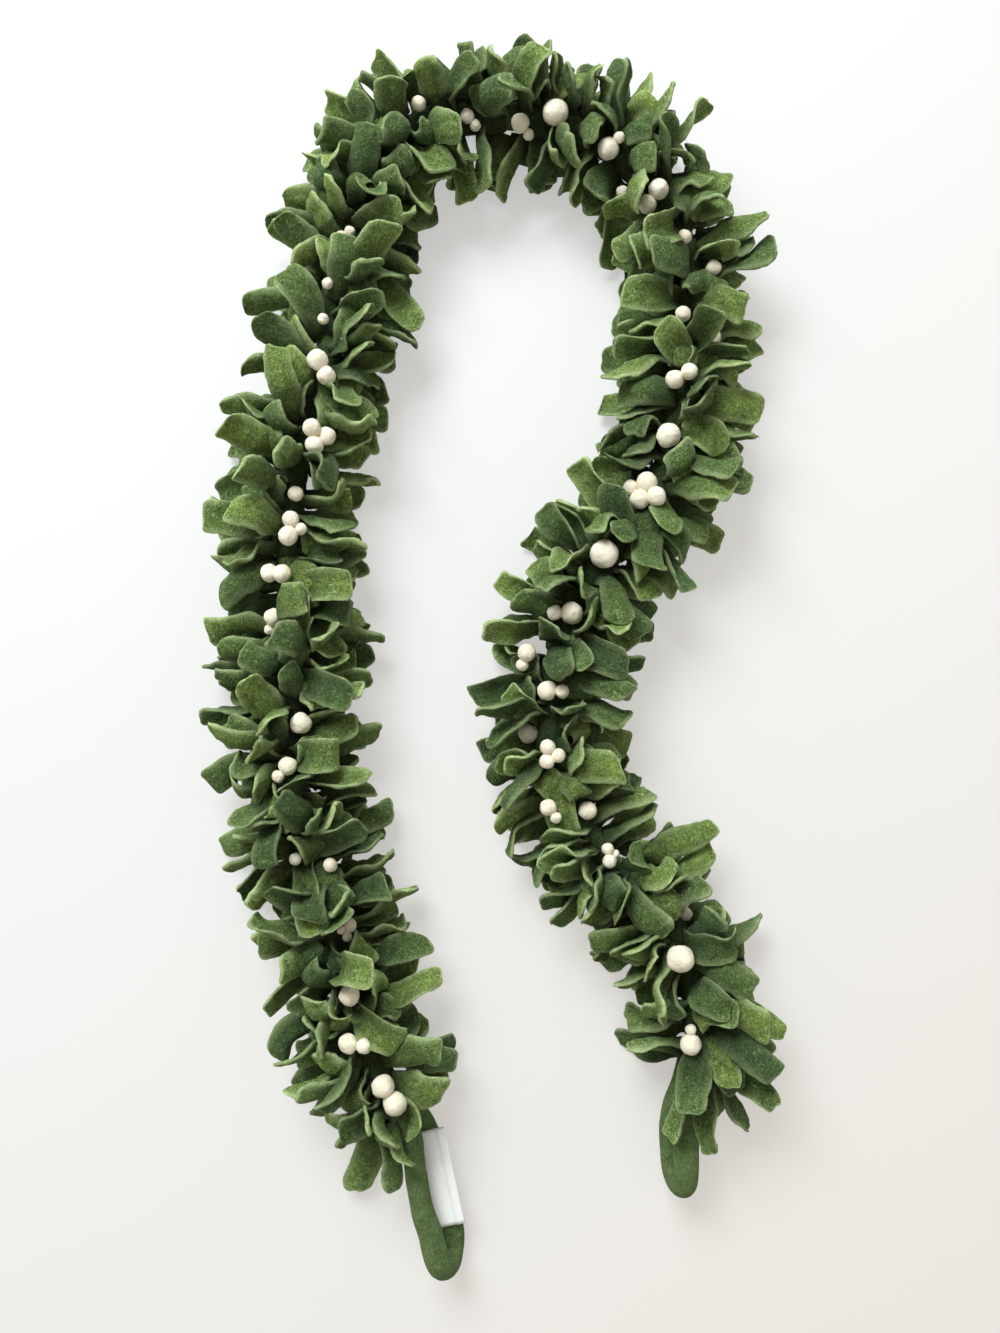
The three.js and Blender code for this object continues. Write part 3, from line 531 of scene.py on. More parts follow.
def blade_relief(chance, life, at, half, thick):
    """Each ring's corners: how far across, up and on they are, and their share across."""
    flat, turn, rise = np.array(RING_TURN, float).T
    edge = np.minimum(thick, half * 0.6)
    across = flat * (half - edge) + turn * edge
    share = across / half
    # The edges aren't cut quite straight.
    ragged = np.sin(9 * at + chance(3) + share * chance(2.5))
    across = across * (1 + 0.05 * ragged) + chance(1.6) * eased(0.45, 1, at)
    # Cupped across, and pinched at the foot.
    cup = CUP * (0.45 + 0.55 * abs(chance(1))) * (1 if chance(1) > -0.5 else -1)
    cup = life * cup * (1 - 0.75 * eased(0.7, 1, at)) + 0.5 * (1 - eased(0, 0.4, at))
    up = rise * thick + cup * half * (share**2 - 0.35)
    across = across * (1 - 0.28 * np.minimum(np.abs(cup), 0.8))
    # Waved along the edges, and a little along the middle.
    swing, phase, lag = life * SWING * (0.45 + 0.55 * abs(chance(1))), chance(math.pi), chance(1.6)
    turns = 2 * math.pi * (1.15 + chance(0.45))
    wave = np.sin(turns * at + phase + lag * share) * np.abs(share) ** 1.4
    up = up + swing * wave * eased(0.05, 0.4, at)
    up = up + chance(1.8) * np.sin(5.5 * at + chance(3)) * eased(0.1, 0.6, at)
    # Creased across.
    fold = np.sin(math.pi * (1.9 + chance(0.5)) * at + share * chance(0.9) + chance(2))
    up = up + life * chance(RIDGE) * (1 - np.abs(fold)) ** 2 * eased(0.1, 0.4, at)
    # Hooked at the tip, which is cut a little off square.
    hook = life * chance(1)
    curl = hook * abs(hook) ** 0.5 * eased(0.5, 1.25, at) * 1.6
    up = up + HOOK * curl
    on = chance(SLANT) * across * eased(0.55, 1, at) - 0.45 * HOOK * curl**2
    return across, up, on, share


def blade_rows(leaf, chance, life=1.0):
    """Rings of corners from foot to tip, their closeness to the rim and their share along.

    The life scales how far the blade is wrung, cupped, waved, creased and hooked.
    """
    shank = np.linspace(leaf["length"], TIP_DISTANCES[-1] + 2.5, SHANK_RINGS)
    to_tip = np.concatenate([shank, TIP_DISTANCES[::-1]])[:, None]
    at = 1 - to_tip / leaf["length"]
    point, wide, face = blade_line(leaf, at)
    ahead = np.cross(wide, face)
    wring = life * chance(WRING) * leaf["sag"] / 20 * eased(0.15, 1, at)
    wide, face = (wide * np.cos(wring) + face * np.sin(wring),
                  face * np.cos(wring) - wide * np.sin(wring))
    half, thick = blade_outline(leaf, chance, at, to_tip)
    lowest = half * np.abs(wide[:, 2:]) + thick * np.abs(face[:, 2:])
    point[:, 2:] = np.maximum(point[:, 2:], lowest)
    across, up, on, share = blade_relief(chance, life, at, half, thick)
    body = point[:, None] + across[..., None] * wide[:, None] + up[..., None] * face[:, None]
    body = body + on[..., None] * ahead[:, None]
    body[..., 2] = np.maximum(body[..., 2], 0.3)
    # The rim mark makes the felt paler here: partly pale fuzz, partly a painted highlight.
    rim = np.clip((np.abs(share) - 0.7) / 0.3, 0, 1)
    return body, np.maximum(rim, np.clip(1 - to_tip / 2.5, 0, 1)), at[:, 0]


def ring_faces(rows, size, start):
    """Quads between rings, and a cap at each end."""
    quads = []
    for i in range(rows - 1):
        for j in range(size):
            a = start + i * size + j
            b = start + i * size + (j + 1) % size
            quads.append((a, b, b + size, a + size))
    last = start + (rows - 1) * size
    caps = [tuple(range(start + size - 1, start - 1, -1)), tuple(range(last, last + size))]
    return quads + caps


def mesh_piece(name, points, faces, material, marks=None):
    """A smooth mesh with its place in its corners, and any number marks on them."""
    mesh = bpy.data.meshes.new(name)
    mesh.from_pydata([tuple(p) for p in to_frame(points)], [], faces)
    for mark, values in (marks or {}).items():
        layer = mesh.attributes.new(mark, "FLOAT", "POINT")
        layer.data.foreach_set("value", np.asarray(values, np.float32).ravel())
    mesh.validate()
    mesh.shade_smooth()
    mesh.materials.append(material)
    piece = bpy.data.objects.new(name, mesh)
    scene.collection.objects.link(piece)
    return piece


chance = random_from(77)
body, *_ = blade_rows(leaves[0], chance)
print("one blade:", body.shape[0], "rings of", body.shape[1], "corners")

# %% [markdown]
# ## Felt
#
# Wool felt is a mat of fibres. Close up it is heathered: fine light and dark flecks and softer
# blotches. The material mixes three scales of noise on Object coordinates, in metres, and adds
# a fibre bump and some sheen. The marks on the leaves' corners give each leaf its own tint and
# paint shade that darkens it towards its foot and lightens it a little at its tip. They also give
# it a paler rim where the blade turns away at its edges and at its cut tip: partly the felt's
# pale fuzz, partly a painted highlight.


# %% Node helpers
def nodes_of(name):
    """A new material, with its nodes and its shader."""
    material = bpy.data.materials.new(name)
    material.use_nodes = True
    tree = material.node_tree
    return material, tree, tree.nodes["Principled BSDF"]


def add_node(tree, kind, settings=None, **inputs):
    """A new node: its settings first, then its inputs set or joined, by name or as i0, i1."""
    node = tree.nodes.new(kind)
    for key, value in (settings or {}).items():
        setattr(node, key, value)
    for key, value in inputs.items():
        by_number = key[0] == "i" and key[1:].isdigit()
        socket = node.inputs[int(key[1:]) if by_number else key.replace("_", " ")]
        if isinstance(value, bpy.types.NodeSocket):
            tree.links.new(value, socket)
        else:
            socket.default_value = value
    return node


def ramp(tree, value, low, high, dark, light):
    """Grades a value from one range to another."""
    return add_node(tree, "ShaderNodeMapRange", Value=value, From_Min=low, From_Max=high,
                    To_Min=dark, To_Max=light).outputs["Result"]


def mix(tree, factor, a, b, blend="MIX"):
    return add_node(tree, "ShaderNodeMix", {"data_type": "RGBA", "blend_type": blend},
                    i0=factor, i6=a, i7=b).outputs[2]


def math_node(tree, operation, a, b):
    return add_node(tree, "ShaderNodeMath", {"operation": operation}, i0=a, i1=b).outputs[0]


def grey_of(tree, level):
    """A number as a grey."""
    return add_node(tree, "ShaderNodeCombineColor", i0=level, i1=level, i2=level).outputs[0]


def attribute(tree, name):
    return add_node(tree, "ShaderNodeAttribute", {"attribute_name": name}).outputs["Fac"]


def linear(r, g, b):
    """A colour as seen, 0 to 255, to the linear values that materials take."""
    return (*[(v / 255 / 12.92) if v <= 10 else ((v / 255 + 0.055) / 1.055) ** 2.4
              for v in (r, g, b)], 1)


def noise_at(tree, coords, scale, detail, roughness=0.6, stretch=None, swirl=0.0):
    """Noise over coordinates, which may be stretched along an axis first."""
    if stretch:
        coords = add_node(tree, "ShaderNodeMapping", Vector=coords, Scale=stretch).outputs[0]
    return add_node(tree, "ShaderNodeTexNoise", Vector=coords, Scale=scale, Detail=detail,
                    Roughness=roughness, Distortion=swirl).outputs["Fac"]


print("white is", linear(255, 255, 255))


# %% Felt material
def felt_material(name, base, other, light, dark, marked, fleck=1.0, sheen=0.4):
    """Felt between two base colours, with lighter and darker fibres; leaves use their marks:
    a tint, painted shade towards the foot and a paler rim that is partly a painted highlight.
    """
    material, tree, shader = nodes_of(name)
    coords = tree.nodes.new("ShaderNodeTexCoord").outputs["Object"]
    blotch = noise_at(tree, coords, 110, 3)
    fibres = noise_at(tree, coords, 620, 2, 0.7, swirl=1.4)
    threads = noise_at(tree, coords, 300, 3, 0.7, (1, 1, 0.4), 2.2)
    folds = noise_at(tree, coords, 90, 2, 0.5, swirl=0.8)
    if marked:
        hue = ramp(tree, math_node(tree, "ADD", attribute(tree, "tint"), blotch), 0.3, 1.7, 0, 1)
    else:
        hue = ramp(tree, blotch, 0.3, 0.7, 0, 1)
    colour = mix(tree, hue, linear(*base), linear(*other))
    colour = mix(tree, ramp(tree, threads, 0.47, 0.66, 0, 0.76 * fleck), colour, linear(*dark))
    colour = mix(tree, ramp(tree, fibres, 0.49, 0.72, 0, 0.7 * fleck), colour, linear(*light))
    level = ramp(tree, blotch, 0.3, 0.7, 1 - 0.24 * fleck, 1 + 0.18 * fleck)
    if marked:
        tint = ramp(tree, attribute(tree, "tint"), 0, 1, 0.6, 1.36)
        level = math_node(tree, "MULTIPLY", level, tint)
        # Painted shade: the reach mark darkens each leaf towards its foot, where the leaves crowd
        # round the rope, and lightens it a little at its tip.
        depth = ramp(tree, attribute(tree, "reach"), 0.05, 0.85, 0.16, 1.12)
        level = math_node(tree, "MULTIPLY", level, depth)
        # A paler rim at the blade's edges: partly the felt's pale fuzz, partly a painted highlight
        # where the rims catch the light.
        fuzz_and_painted_highlight = ramp(tree, attribute(tree, "rim"), 0.3, 1, 0, 0.8)
        colour = mix(tree, fuzz_and_painted_highlight, colour, linear(*light))
    colour = mix(tree, 1.0, colour, grey_of(tree, level), "MULTIPLY")
    tree.links.new(colour, shader.inputs["Base Color"])
    relief = math_node(tree, "ADD", fibres, threads)
    creases = add_node(tree, "ShaderNodeBump", Height=folds, Strength=0.6 * fleck, Distance=0.006)
    bump = add_node(tree, "ShaderNodeBump", Height=relief, Strength=1.0, Distance=0.002 * fleck,
                    Normal=creases.outputs[0])
    tree.links.new(bump.outputs[0], shader.inputs["Normal"])
    shader.inputs["Roughness"].default_value = 0.95
    shader.inputs["Specular IOR Level"].default_value = 0.12
    shader.inputs["Sheen Weight"].default_value = sheen
    shader.inputs["Sheen Roughness"].default_value = 0.6
    halfway = [0.5 * (a + b) for a, b in zip(base, light)]
    shader.inputs["Sheen Tint"].default_value = linear(*halfway)
    return material


leaf_felt = felt_material("green_leaf_felt", (63, 97, 57), (110, 127, 46), (186, 203, 145),
                          (12, 36, 12), True)
rope_felt = felt_material("green_rope_felt", (84, 108, 66), (98, 116, 68), (152, 168, 116),
                          (48, 70, 38), False, 0.8)
cream_felt = felt_material("cream_felt", (243, 232, 205), (248, 239, 217), (253, 249, 236),
                           (228, 209, 172), False, 0.35, 0.05)
print("felts ready")

# %% [markdown]
# ## Where the berries sit
#
# The leaves have to leave the berries in sight, so the berries' places come first. The
# frame's solid tells how deep each cluster sits between the leaves: the depth is tried in
# small steps until the balls fit the solid's corners.

# %% Where the berries sit
BALL_CORNERS = 1.08  # how far the solid's corners stand out, of the ball's radius
SINK = 0.2  # the step by which a cluster sinks
SINK_STEPS = 140


def ball_places(row, reach):
    """The middles and radii of a cluster's balls, the first at a reach from the rope's middle."""
    station, angle, second, diameters = row
    middle, along, out, around = frame_round(station, angle)
    first = middle + out * reach
    places = []
    for i, diameter in enumerate(diameters):
        turn = math.radians(second + BERRY_STEP * (i - 1))
        apart = 0 if i == 0 else BALL_SEAT * (diameters[0] + diameter) / 2
        spot = first + along * (apart * math.cos(turn)) + around * (apart * math.sin(turn))
        places.append((spot, diameter / 2))
    return places


def misfit(points, places):
    """How far the solid's corners are from where balls at these places would have them."""
    far = [np.linalg.norm(points - np.array(c), axis=1) - BALL_CORNERS * r for c, r in places]
    return float(np.min(np.abs(far), axis=0).mean())


balls = []  # for each cluster, its balls' middles and radii
for i, row in enumerate(BERRIES):
    corners = node_points(numbered("berries", i))
    reaches = [BERRY_REACH - SINK * k for k in range(SINK_STEPS)]
    reach = min(reaches, key=lambda r: misfit(corners, ball_places(row, r)))
    balls.append(ball_places(row, reach))
print("balls:", sum(map(len, balls)))


# %% [markdown]
# ## The bunches of leaves
#
# The leaves sewn on one stretch of rope make one piece. A leaf that runs into another is tried
# again with a calmer blade. Leaves this close hide the rope, so after the frame's leaves come
# fillers, tried one by one against a coarse copy of everything near them, and kept where they
# touch nothing and hide no berry.

# %% Filler settings
FREE_FROM = 0.36  # nearer the foot than this share, leaves may press into each other
SHORT_FREE_FROM = 0.5  # the same for short fillers,
FLAT_FREE_FROM = 0.6  # and for those that lie flat on the table
OVER_ROPE, ON_TABLE, ALL_ROUND = (1300, 631), (640, 77), (420, 905)  # fillers tried, seed
LIVES = (1, 1, 1, 0.75, 0.75, 0.5, 0.3)  # a leaf that runs into another is tried again, calmer
FILLER_CHANGES = 11  # how many of the small changes a filler may try
BAND_RADIUS = 12  # of the felt band that the leaves are sewn to
BAND_SIDES = 24
BAND_RINGS = 24
COARSE_RINGS = 9
COARSE_CORNERS = [0, 3, 4, 7, 10, 11]  # of a ring's corners
ARC = (700, 930)  # stations of the arc at the top
ARC_ANGLE = 40  # inside the arc, the leaves beyond this angle are pressed together
ARC_SHARE = 0.84  # and stand out by this share of their length
SMALL_BERRIES = [  # station, angle, diameter
    (52, 90, 12), (451, -50, 11), (491, -25, 8), (603, 5, 8), (618, -10, 8), (772, -5, 10),
    (945, 90, 9), (1006, 20, 10), (1028, -30, 11), (1074, -35, 11),
]
# Leaves that hang over the rope's ends, in rows like those of the first table
END_LEAVES = [
    (1660, -30, 52, 20, 80, 15, 0, 0.5), (1656, 30, 50, 20, 76, 25, 0, 0.45),
    (1642, -95, 58, 17, 38, 60, 0, 0.4), (1652, -88, 56, 16, 52, 50, 0, 0.4),
    (10, -60, 50, 20, -70, 35, 0, 0.5), (8, -20, 34, 22, -75, 10, 0, 0.5),
    (26, 38, 38, 24, -58, 10, 0, 0.6),
]
print(len(SMALL_BERRIES), "small berries and", len(END_LEAVES), "end leaves to place")


# %% Clear of their neighbours
def coarse_tree(rows, free_from=FREE_FROM):
    """A coarse copy of a blade's free part, to test against: some corners of a few rings."""
    body, _, at = rows
    first = int(np.searchsorted(at, free_from))
    picks = np.unique(np.linspace(first, len(body) - 1, COARSE_RINGS).astype(int))
    corners = body[picks][:, COARSE_CORNERS]
    faces = ring_faces(len(picks), len(COARSE_CORNERS), 0)
    return bvhtree.BVHTree.FromPolygons([tuple(p) for p in corners.reshape(-1, 3)], faces)


def node_tree(name):
    """One of the frame's solids, to test against."""
    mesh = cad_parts[name].data
    return bvhtree.BVHTree.FromPolygons(
        [tuple(p) for p in node_points(name)], [tuple(p.vertices) for p in mesh.polygons]
    )


def press_in_arc(leaf):
    """Shortens a leaf inside the arc at the top, where the leaves are pressed together."""
    if ARC[0] < leaf["station"] < ARC[1] and leaf["angle"] > ARC_ANGLE:
        leaf["length"] *= ARC_SHARE


trees = [[] for _ in range(BUNCHES)]
blades = [[] for _ in range(BUNCHES)]


def trees_near(bunch):
    """The coarse copies in a bunch and in the ones beside it."""
    return [t for b in range(max(bunch - 1, 0), min(bunch + 2, BUNCHES)) for t in trees[b]]


for leaf in leaves:
    press_in_arc(leaf)
for leaf in leaves:
    near = trees_near(leaf["bunch"])
    for life in LIVES:
        rows = blade_rows(leaf, chance, life)
        tree = coarse_tree(rows)
        if not any(tree.overlap(other) for other in near):
            break
    blades[leaf["bunch"]].append((leaf, rows, chance(1)))
    trees[leaf["bunch"]].append(tree)
print("blades:", sum(map(len, blades)))


# %% Small berries
solid_names = [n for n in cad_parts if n.startswith(("berries", "hanging", "blank"))]
solid_trees = [node_tree(name) for name in solid_names]


def ball_tree(centre, radius):
    """A coarse copy of a ball, to test against."""
    shape = bmesh.new()
    bmesh.ops.create_icosphere(shape, subdivisions=2, radius=radius)
    bmesh.ops.translate(shape, vec=centre, verts=shape.verts)
    tree = bvhtree.BVHTree.FromBMesh(shape)
    shape.free()
    return tree


# A small berry sits as deep between the leaves as it can without touching them.
small_balls = []
for station, angle, diameter in SMALL_BERRIES:
    near = trees_near(bunch_of(station))
    for attempt in range(60):
        turn = angle + (attempt % 5 - 2) * 6
        middle, _, out, _ = frame_round(station + (attempt % 3 - 1) * 5, turn)
        centre = middle + out * (BAND_RADIUS + diameter / 2 + 5 + 0.25 * attempt)
        if not any(ball_tree(centre, diameter / 2).overlap(t) for t in near + solid_trees):
            small_balls.append((centre, diameter / 2))
            solid_trees.append(ball_tree(centre, diameter / 2))
            break
print("small berries:", len(small_balls), "of", len(SMALL_BERRIES))
ball_list = [(np.array(c), r) for cluster in [*balls, small_balls] for c, r in cluster]


# %% Fillers
def hides_berry(body):
    """Whether a blade lies over a ball, seen from above."""
    points = body.reshape(-1, 3)
    for centre, radius in ball_list:
        over = points[:, 2] > centre[2]
        if (np.hypot(*(points[over, :2] - centre[:2]).T) < radius + 0.5).any():
            return True
    return False


def add_filler(leaf, free_from):
    """Plants a leaf where it or a small change of it touches nothing."""
    press_in_arc(leaf)
    bunch = bunch_of(leaf["station"])
    near = trees_near(bunch)
    for change in CHANGES[:FILLER_CHANGES]:
        tried = changed(leaf, change)
        rows = blade_rows(tried, chance)
        tree = coarse_tree(rows, free_from)
        if hides_berry(rows[0]):
            continue
        if not any(tree.overlap(other) for other in near + solid_trees):
            blades[bunch].append((tried, rows, chance(1)))
            trees[bunch].append(tree)
            return True
    return False


# Leaves hang over the rope's ends first.
added = [0, 0, 0, 0]
for row in END_LEAVES:
    added[3] += add_filler(dict(zip(ROW_KEYS, row), twist=0, sag=12), SHORT_FREE_FROM)

# Then short ones curl over the rope, more bent than the crowd.
for leaf in crowd_leaves(*OVER_ROPE, []):
    if abs(leaf["angle"]) < 66:
        leaf["length"] *= 0.7
        leaf["bend"] += math.copysign(22, leaf["bend"])
        added[0] += add_filler(leaf, SHORT_FREE_FROM)

# Then ones with less roll lie flat on the table, under the rest.
for leaf in crowd_leaves(*ON_TABLE, []):
    if abs(leaf["angle"]) > 70:
        leaf["angle"] = math.copysign(108 + 0.3 * abs(leaf["bend"]), leaf["angle"])
        leaf["roll"] = 0.3 * leaf["roll"]
        leaf["length"] *= 0.76
        added[1] += add_filler(leaf, FLAT_FREE_FROM)

# Longer ones all round come last.
for leaf in crowd_leaves(*ALL_ROUND, named):
    leaf["length"] *= 0.86
    added[2] += add_filler(leaf, FREE_FROM)
print("fillers over the rope, on the table, all round and at the ends:", added)

# %% [markdown]
# ## Nap
#
# Felt is never flat: it swells and dips a little, and loose fibres stand off it. A node
# group does both for every leaf at once: it moves the surface along its normals by a broad
# noise, then scatters short thin spikes over it and makes them real, so the same seed
# always grows the same nap.


# %% Node groups
def node_group(name, *sockets):
    """A geometry node group with named inputs, each a name, a type and a default."""
    tree = bpy.data.node_groups.new(name, "GeometryNodeTree")
    tree.interface.new_socket("Geometry", in_out="INPUT", socket_type="NodeSocketGeometry")
    for label, kind, default in sockets:
        socket = tree.interface.new_socket(label, in_out="INPUT", socket_type=kind)
        if default is not None:
            socket.default_value = default
    tree.interface.new_socket("Geometry", in_out="OUTPUT", socket_type="NodeSocketGeometry")
    return tree, tree.nodes.new("NodeGroupInput"), tree.nodes.new("NodeGroupOutput")


def grown(piece, tree, **values):
    """Runs a node group on a piece and keeps the result as a plain mesh."""
    modifier = piece.modifiers.new("grow", "NODES")
    modifier.node_group = tree
    names = {s.name: s.identifier for s in tree.interface.items_tree if s.in_out == "INPUT"}
    for key, value in values.items():
        modifier[names[key.replace("_", " ")]] = value
    piece.update_tag()
    graph = bpy.context.evaluated_depsgraph_get()
    mesh = bpy.data.meshes.new_from_object(piece.evaluated_get(graph))
    piece.modifiers.remove(modifier)
    piece.data = mesh
    mesh.shade_smooth()
    return piece


def swollen(tree, skin, height):
    """Moves a surface along its normals by a height."""
    normal = add_node(tree, "GeometryNodeInputNormal").outputs[0]
    push = add_node(tree, "ShaderNodeVectorMath", {"operation": "SCALE"}, Vector=normal,
                    Scale=height).outputs[0]
    return add_node(tree, "GeometryNodeSetPosition", Geometry=skin, Offset=push).outputs[0]


def above_table(piece):
    """Presses up whatever would reach through the table."""
    vertices = piece.data.vertices
    flat = np.empty(len(vertices) * 3, np.float32)
    vertices.foreach_get("co", flat)
    flat[2::3] = np.maximum(flat[2::3], 0)
    vertices.foreach_set("co", flat)
    piece.data.update()


# %% The nap
def nap_group():
    """Swells a surface and grows short spikes on it, most of them at the rims."""
    tree, given, result = node_group(
        "felt nap", ("Uneven", "NodeSocketFloat", 0.0014), ("Density", "NodeSocketFloat", 90000.0),
        ("Fibre", "NodeSocketFloat", 0.003), ("Seed", "NodeSocketInt", 1),
        ("Felt", "NodeSocketMaterial", None),
    )
    place = add_node(tree, "GeometryNodeInputPosition").outputs[0]
    swell = add_node(tree, "ShaderNodeTexNoise", Vector=place, Scale=170.0, Detail=2.0)
    swell = add_node(tree, "ShaderNodeMapRange", Value=swell.outputs["Fac"], To_Min=-1).outputs[0]
    height = math_node(tree, "MULTIPLY", swell, given.outputs["Uneven"])
    skin = swollen(tree, given.outputs["Geometry"], height)
    rim = add_node(tree, "GeometryNodeInputNamedAttribute", {"data_type": "FLOAT"}, Name="rim")
    share = add_node(tree, "ShaderNodeMapRange", Value=rim.outputs["Attribute"], To_Min=0.35)
    density = math_node(tree, "MULTIPLY", share.outputs[0], given.outputs["Density"])
    points = add_node(tree, "GeometryNodeDistributePointsOnFaces", Mesh=skin,
                      Density=density, Seed=given.outputs["Seed"])
    stray = add_node(tree, "FunctionNodeRandomValue", {"data_type": "FLOAT_VECTOR"},
                     i0=(-1, -1, -1), i1=(1, 1, 1))
    lean = add_node(tree, "ShaderNodeVectorMath", {"operation": "ADD"},
                    i0=points.outputs["Normal"], i1=stray.outputs[0])
    aimed = add_node(tree, "FunctionNodeAlignRotationToVector", {"axis": "Z"},
                     Vector=lean.outputs[0])
    spike = add_node(tree, "GeometryNodeMeshCone", Vertices=3, Depth=given.outputs["Fibre"],
                     Radius_Top=0.0, Radius_Bottom=0.0002)
    sizes = add_node(tree, "FunctionNodeRandomValue", i2=0.4, i3=1.3)
    fibres = add_node(tree, "GeometryNodeInstanceOnPoints", Points=points.outputs["Points"],
                      Instance=spike.outputs["Mesh"], Rotation=aimed.outputs[0],
                      Scale=sizes.outputs[1])
    real = add_node(tree, "GeometryNodeRealizeInstances", Geometry=fibres.outputs[0])
    # The spikes get a high rim mark, so the felt paints them pale: partly the colour of loose
    # fibres, partly a painted highlight.
    pale = add_node(tree, "GeometryNodeStoreNamedAttribute", {"domain": "POINT"},
                    Geometry=real.outputs[0], Name="rim", Value=0.9)
    both = add_node(tree, "GeometryNodeJoinGeometry")
    tree.links.new(skin, both.inputs[0])
    tree.links.new(pale.outputs[0], both.inputs[0])
    dressed = add_node(tree, "GeometryNodeSetMaterial", Geometry=both.outputs[0],
                       Material=given.outputs["Felt"])
    tree.links.new(dressed.outputs[0], result.inputs[0])
    return tree


felt_nap = nap_group()
print("nap group:", len(felt_nap.nodes), "nodes")

# %% Bunch pieces
def felt_area(leaf):
    """Flat area of the felt in one leaf, in square metres."""
    at = np.linspace(0, 1, 50)
    mean_width = float(np.mean(2 * half_outline(at, leaf["tip"]))) * leaf["width"]
    return mean_width * leaf["length"] * MM * MM


def band_rings(bunch):
    """Rings of a bunch's band, round the rope, drawn in at its ends."""
    middle = LEAFY_FROM + (bunch + 0.5) * BUNCH_PITCH
    for share in np.linspace(-0.5, 0.5, BAND_RINGS):
        spot, along, side = core_at(middle + share * BAND_LENGTH)
        up = side.cross(along)
        radius = BAND_RADIUS - 1.6 * (2 * abs(share)) ** 6
        yield [
            spot + side * (radius * math.sin(a)) + up * (radius * math.cos(a))
            for a in [2 * math.pi * j / BAND_SIDES for j in range(BAND_SIDES)]
        ]


triangles = 0
for bunch in range(BUNCHES):
    points, faces, tints, rims, reaches, areas = [], [], [], [], [], 0
    for leaf, (body, rim, at), tint in blades[bunch]:
        faces += ring_faces(len(body), RING_SIZE, len(points))
        points += [tuple(p) for p in body.reshape(-1, 3)]
        tints += [0.5 + 0.5 * tint] * body.shape[0] * RING_SIZE
        rims += list(rim.ravel())
        # The share along each leaf is its reach mark, which the felt turns into painted shade
        # towards the foot.
        reaches += list(np.repeat(at, RING_SIZE))
        areas += felt_area(leaf)
    band = [corner for ring in band_rings(bunch) for corner in ring]
    faces += ring_faces(len(band) // BAND_SIDES, BAND_SIDES, len(points))
    points += [tuple(p) for p in band]
    tints += [0.3] * len(band)
    rims += [0] * len(band)
    # The band gets a low reach, so it is painted in deep shade.
    reaches += [0.1] * len(band)
    areas += 2 * math.pi * BAND_RADIUS * BAND_LENGTH * MM * MM
    name = numbered("leaves", bunch)
    marks = {"tint": tints, "rim": rims, "reach": reaches}
    piece = mesh_piece(name, points, faces, leaf_felt, marks)
    grown(piece, felt_nap, Seed=bunch + 1, Felt=leaf_felt)
    above_table(piece)
    triangles += sum(len(f.vertices) - 2 for f in piece.data.polygons)
    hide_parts(numbered("leaf_bunch", bunch))
    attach(piece, "root")
    side = round(math.sqrt(areas) * 1.03, 3)
print("leaves:", sum(map(len, blades)), "triangles:", triangles)

# %% [markdown]
# ## The rope and its loops
#
# The rope is a felt tube, stuffed, and as thick as a thumb. Geometry Nodes sweep a circle
# along its line, with the radius a little uneven, as rolled felt is. The same node group
# makes the core and both hanging loops, each with its own line and seed.


# %% A rope from a line
def rope_group():
    """Sweeps an uneven tube along a line."""
    tree, given, result = node_group(
        "felt rope", ("Radius", "NodeSocketFloat", 0.0095), ("Uneven", "NodeSocketFloat", 0.0004),
        ("Seed", "NodeSocketFloat", 1.0), ("Felt", "NodeSocketMaterial", None),
    )
    line = add_node(tree, "GeometryNodeMeshToCurve", Mesh=given.outputs["Geometry"])
    line = add_node(tree, "GeometryNodeResampleCurve", {"mode": "LENGTH"},
                    Curve=line.outputs[0], Length=0.003)
    circle = add_node(tree, "GeometryNodeCurvePrimitiveCircle", Resolution=28,
                      Radius=given.outputs["Radius"])
    tube = add_node(tree, "GeometryNodeCurveToMesh", Curve=line.outputs[0],
                    Profile_Curve=circle.outputs[0], Fill_Caps=True)
    place = add_node(tree, "GeometryNodeInputPosition").outputs[0]
    lumps = add_node(tree, "ShaderNodeTexNoise", {"noise_dimensions": "4D"}, Vector=place,
                     W=given.outputs["Seed"], Scale=55)
    centred = math_node(tree, "SUBTRACT", lumps.outputs["Fac"], 0.5)
    height = math_node(tree, "MULTIPLY", centred, given.outputs["Uneven"])
    moved = swollen(tree, tube.outputs[0], height)
    dressed = add_node(tree, "GeometryNodeSetMaterial", Geometry=moved,
                       Material=given.outputs["Felt"])
    tree.links.new(dressed.outputs[0], result.inputs[0])
    return tree


def line_piece(name, points):
    """A bare line of edges through points."""
    mesh = bpy.data.meshes.new(name)
    edges = [(i, i + 1) for i in range(len(points) - 1)]
    mesh.from_pydata([tuple(p) for p in to_frame(points)], edges, [])
    piece = bpy.data.objects.new(name, mesh)
    scene.collection.objects.link(piece)
    return piece


def tapered(piece, points, factors):
    """Draws each corner of a tube towards its line by the factor of the nearest point."""
    line = to_frame(points)
    tree = kdtree.KDTree(len(line))
    for i, point in enumerate(line):
        tree.insert(point, i)
    tree.balance()
    for vertex in piece.data.vertices:
        near, i, _ = tree.find(vertex.co)
        vertex.co = near + (vertex.co - near) * factors[i]


felt_rope = rope_group()
print("rope group:", len(felt_rope.nodes), "nodes")


# %% Rope pieces
ROPE_BARE = 9.3  # the rope's radius before its swelling
LOOP_STEPS = 300
LOOP_POWER = 0.5  # evens out the curve where the loop's points lie close together
# Each loop's far end is caught under the rope, inside the first leaves.
LEFT_END = (-76, -306, 15)
RIGHT_END = (143, -288, 15)


def rope_piece(name, node, points, seed, factors=None):
    """A felt tube along points, in the place of one of the frame's solids."""
    piece = grown(line_piece(name, points), felt_rope, Radius=ROPE_BARE * MM, Uneven=0.0016,
                  Seed=seed, Felt=rope_felt)
    if factors is not None:
        tapered(piece, points, factors)
    above_table(piece)
    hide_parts(node)
    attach(piece, "root")
    print(name, len(piece.data.polygons), "faces")


